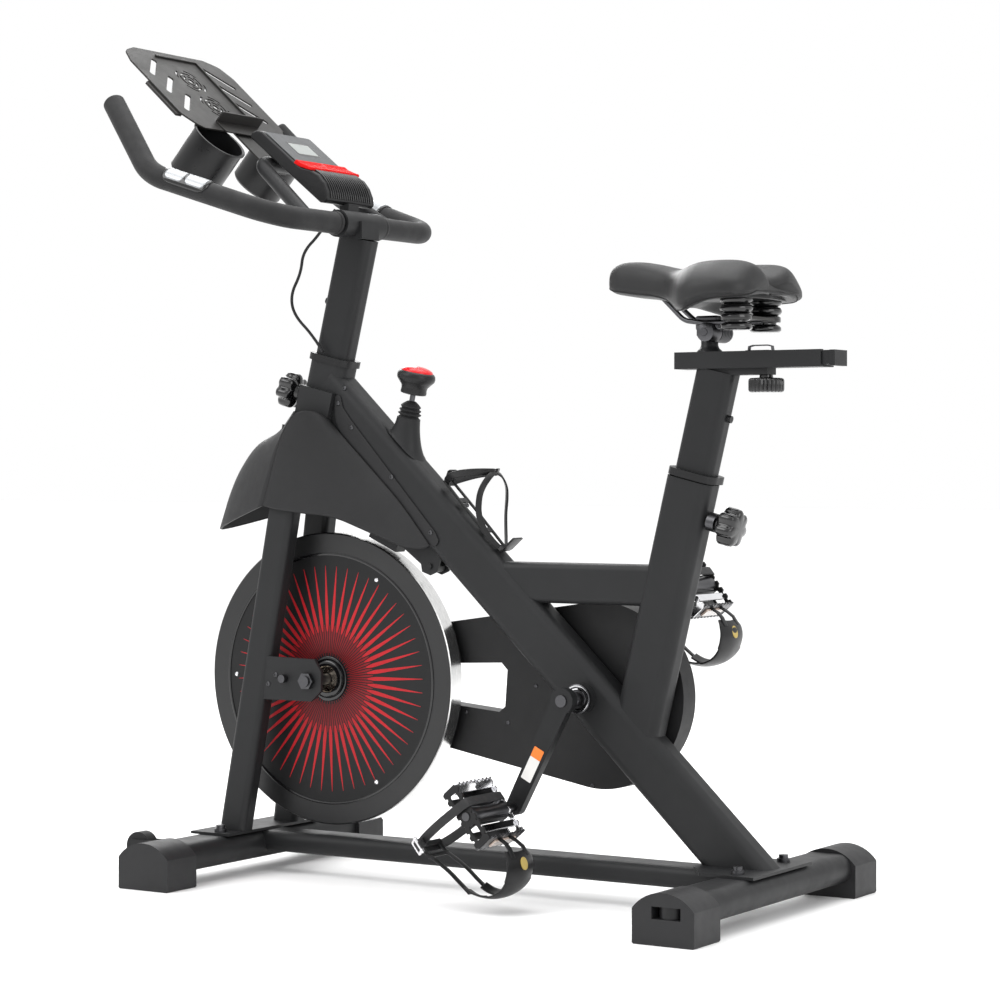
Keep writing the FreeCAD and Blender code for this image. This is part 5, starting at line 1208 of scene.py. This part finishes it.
    # chrome roller buckle
    bq = Matrix((FD, (P_(0, -30, 100) - P_(0, -48, 76)).normalized(), FD.cross((P_(0, -30, 100) - P_(0, -48, 76)).normalized()))).transposed()
    BQ = place(bq, P_(-14, -42.5, 92))
    o = slab("buckle_" + side, round_poly([(-11, -10), (11, -10), (11, 10), (-11, 10)], 3), -1.6, 1.6, BQ, M_CHROME, 0.7, holes=[round_poly([(-7.4, -6), (7.4, -6), (7.4, 6), (-7.4, 6)], 2)])
    put(o, body)
    o = sweep("buckle_roller_" + side, [BQ @ Vector((-0.012, -0.002, 0.0025)), BQ @ Vector((0.012, -0.002, 0.0025))], ring_section(2.6, 16), M_CHROME)
    put(o, body)


pedal("left", -1, PL)
pedal("right", 1, PR)

# =================================================================== cranks, bearing rings, blank label
for side, sg in (("left", -1),):
    rg = lathe("bearing_cup_" + side, [(20.6, 0), (20.6, 2.2), (19.0, 3.0), (17.2, 3.0), (16.6, 1.8), (15.4, 1.8), (14.8, 3.2), (13.2, 3.2), (12.6, 1.6), (9.4, 1.6), (9.4, 0)], W(BB[0], -40.0, BB[1]), -YD, [M_DARKSTEEL, M_CHROME], 80,
               mats_by=lambda a, b: 1 if (16.9 < max(a[0], b[0]) < 19.4 and min(a[1], b[1]) >= 2.9) or (13.0 < max(a[0], b[0]) < 15.0 and min(a[1], b[1]) >= 3.1) else 0)
    put(rg, "frame")
ua = Vector((_u.x, 0, _u.z)).normalized()
LM = place(Matrix((ua, Vector((-ua.z, 0, ua.x)), ua.cross(Vector((-ua.z, 0, ua.x))))).transposed(), W(BB[0], -84.0, BB[1]))
if (LM.to_3x3() @ Vector((0, 0, 1))).y > 0:
    LM = place(Matrix((ua, Vector((ua.z, 0, -ua.x)), ua.cross(Vector((ua.z, 0, -ua.x))))).transposed(), W(BB[0], -84.0, BB[1]))
o = slab("crank_label_white", round_poly([(91, -8.5), (126, -8.5), (126, 8.5), (91, 8.5)], 1.5), 0.02, 0.25, LM, M_WHITE, 0)
put(o, "crank")
o = slab("crank_label_orange", round_poly([(76, -8.5), (91.5, -8.5), (91.5, 8.5), (76, 8.5)], 1.5), 0.02, 0.3, LM, M_ORANGE, 0)
put(o, "crank")
for k, (x, z) in enumerate(((54, 294), (7, 239), (147, 157), (-65, 251))):
    screw_head("guard_screw_%d" % k, W(x, 25.0, z), -YD, 3.0, "frame", M_DARKSTEEL, 1.6)
# small screws on the dropout plate and on the collars
for k, (x, z) in enumerate(((-338, 300), (-352, 286))):
    screw_head("dropout_screw_%d" % k, W(x, -69.2, z), -YD, 3.6, "frame", M_DARKSTEEL, 1.8)
screw_head("head_screw", W(-247, -23.0, 722), -YD, 3.6, "frame", M_DARKSTEEL, 2.0)

# =================================================================== bottle cage: flat moulded bands
def cage_pt(t, n, y):
    return W(-79.8 + 0.690 * t + 0.7243 * n, y, 584.8 - 0.7243 * t + 0.690 * n)


ct, cnn = dirv(0.690, 0, -0.7243), dirv(0.7243, 0, 0.690)
for k, sg in enumerate((-1, 1)):
    pts_ = [Vector(q) for q in ((2, 3, sg * 9), (6, 14, sg * 20), (14, 30, sg * 31), (27, 48, sg * 34), (38, 61, sg * 24), (45, 68, sg * 4))]
    o = sweep("cage_top_band_%d" % k, [cage_pt(*poly_at(pts_, q / 20.0)) for q in range(21)], flat_section(11, 2.8), M_BLACK, up=ct)
    put(o, "frame", "bottle_cage")
    pts_ = [Vector(q) for q in ((44, 68, sg * 1), (50, 65, sg * 16), (59, 54, sg * 31), (69, 41, sg * 37), (85, 24, sg * 36), (104, 12, sg * 29), (120, 6, sg * 19), (131, 3, sg * 10))]
    o = sweep("cage_side_band_%d" % k, [cage_pt(*poly_at(pts_, q / 24.0)) for q in range(25)], flat_section(9, 2.8), M_BLACK, up=ct)
    put(o, "frame")
    o = sweep("cage_spine_%d" % k, [cage_pt(-1, 1.6, sg * 10), cage_pt(66, 1.6, sg * 12), cage_pt(134, 1.6, sg * 10)], flat_section(5, 3.6), M_BLACK, up=YD)
    put(o, "frame")
CGM = Matrix((YD, ct, YD.cross(ct))).transposed()
for k, t0 in enumerate((4, 38, 96, 130)):
    o = box("cage_bridge_%d" % k, (24, 9, 2.6), place(CGM, cage_pt(t0, 1.4, 0)), M_BLACK, 0.8)
    put(o, "frame")
for k, t0 in enumerate((46, 88)):
    screw_head("cage_screw_%d" % k, cage_pt(t0, 0.4, 0), cnn, 4.2, "frame", M_DARKSTEEL, 2.4)
o = sweep("cage_tab", [cage_pt(2, 0.5, 0), cage_pt(-3, 6, 0), cage_pt(-7, 15, 0), cage_pt(-6, 18, 0)], flat_section(19, 2.6), M_BLACK, up=YD)
put(o, "frame")
o = sweep("cage_foot", [cage_pt(131, 1.6, 0), cage_pt(137, 3.0, 0), cage_pt(138.5, 8, 0), cage_pt(139, 20, 0), cage_pt(139.5, 31, 0)], flat_section(26, 2.8), M_BLACK, up=YD)
put(o, "frame")

# =================================================================== sensor cable
route = [(-258, -30, 984), (-285, -30, 950), (-318, -28, 925), (-322, -28, 893), (-341, -28, 862), (-335, -28, 832), (-300, -27, 800), (-283, -26.5, 776)]
cu = bpy.data.curves.new("sensor_cable_line", "CURVE")
cu.dimensions = "3D"
sp = cu.splines.new("NURBS")
sp.points.add(len(route) - 1)
for k, p in enumerate(route):
    w_ = W(*p)
    sp.points[k].co = (w_.x, w_.y, w_.z, 1)
sp.order_u = 3
sp.use_endpoint_u = True
sp.resolution_u = 16
line = bpy.data.objects.new("sensor_cable_line", cu)
COL.objects.link(line)
dg = bpy.context.evaluated_depsgraph_get()
lm = bpy.data.meshes.new_from_object(line.evaluated_get(dg))
cpts = [v.co.copy() for v in lm.vertices]
bpy.data.meshes.remove(lm)
bpy.data.objects.remove(line, do_unlink=True)
cab = sweep("sensor_cable_cord", cpts, ring_section(2.2, 14), M_RUBBER, up=YD)
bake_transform(cab)
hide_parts("sensor_cable")


# =================================================================== stage, light, camera
bpy.ops.mesh.primitive_plane_add(size=60, location=(0, 0, 0))
fl = bpy.context.object
fl.name = "studio_floor"
fl.data.materials.append(M_FLOOR)

sun_d = bpy.data.lights.new("floor_wash", "SUN")
sun_d.energy = 0.75
sun_d.angle = math.radians(60)
sun_o = bpy.data.objects.new("floor_wash", sun_d)
COL.objects.link(sun_o)

world = bpy.data.worlds.new("studio")
S.world = world
world.use_nodes = True
bg = world.node_tree.nodes["Background"]
bg.inputs[0].default_value = (1.0, 1.0, 1.0, 1)
bg.inputs[1].default_value = 1.0


def area(name, loc, target, size, power, col=(1, 1, 1), sy=None):
    d = bpy.data.lights.new(name, "AREA")
    d.energy = power
    d.color = col
    d.shape = "RECTANGLE"
    d.size = size
    d.size_y = sy or size
    o = bpy.data.objects.new(name, d)
    COL.objects.link(o)
    o.location = loc
    o.rotation_mode = "QUATERNION"
    o.rotation_quaternion = (Vector(target) - Vector(loc)).to_track_quat("-Z", "Y")
    return o


area("key_top_left", (-1.6, -2.6, 3.2), (0, 0, 0.5), 2.4, 70)
area("fill_right", (3.2, -1.0, 1.8), (0, 0, 0.6), 2.0, 35)
area("top_soft", (0.0, 0.6, 3.6), (0, 0, 0.4), 3.0, 60)
area("rim_back", (-2.4, 2.4, 2.4), (0, 0, 0.7), 1.6, 40)

cam_d = bpy.data.cameras.new("photo_camera")
cam_d.sensor_width = 36.0
cam_d.lens = 2753.38 * 36.0 / 1000.0
cam_d.clip_end = 100
cam = bpy.data.objects.new("photo_camera", cam_d)
COL.objects.link(cam)
az, el, roll = math.radians(32.1598), math.radians(0.7565), math.radians(0.006)
back = Vector((math.sin(az) * math.cos(el), -math.cos(az) * math.cos(el), math.sin(el)))
right = (-back).cross(ZD).normalized()
upv = right.cross(-back)
R2 = right * math.cos(roll) + upv * math.sin(roll)
U2 = -right * math.sin(roll) + upv * math.cos(roll)
m3 = Matrix((R2, U2, back)).transposed()
cam.matrix_world = Matrix.Translation(W(2100.84, -3327.13, 611.32)) @ m3.to_4x4()
S.camera = cam
S.view_settings.view_transform = "Standard"
S.view_settings.look = "None"
S.view_settings.exposure = 0.0
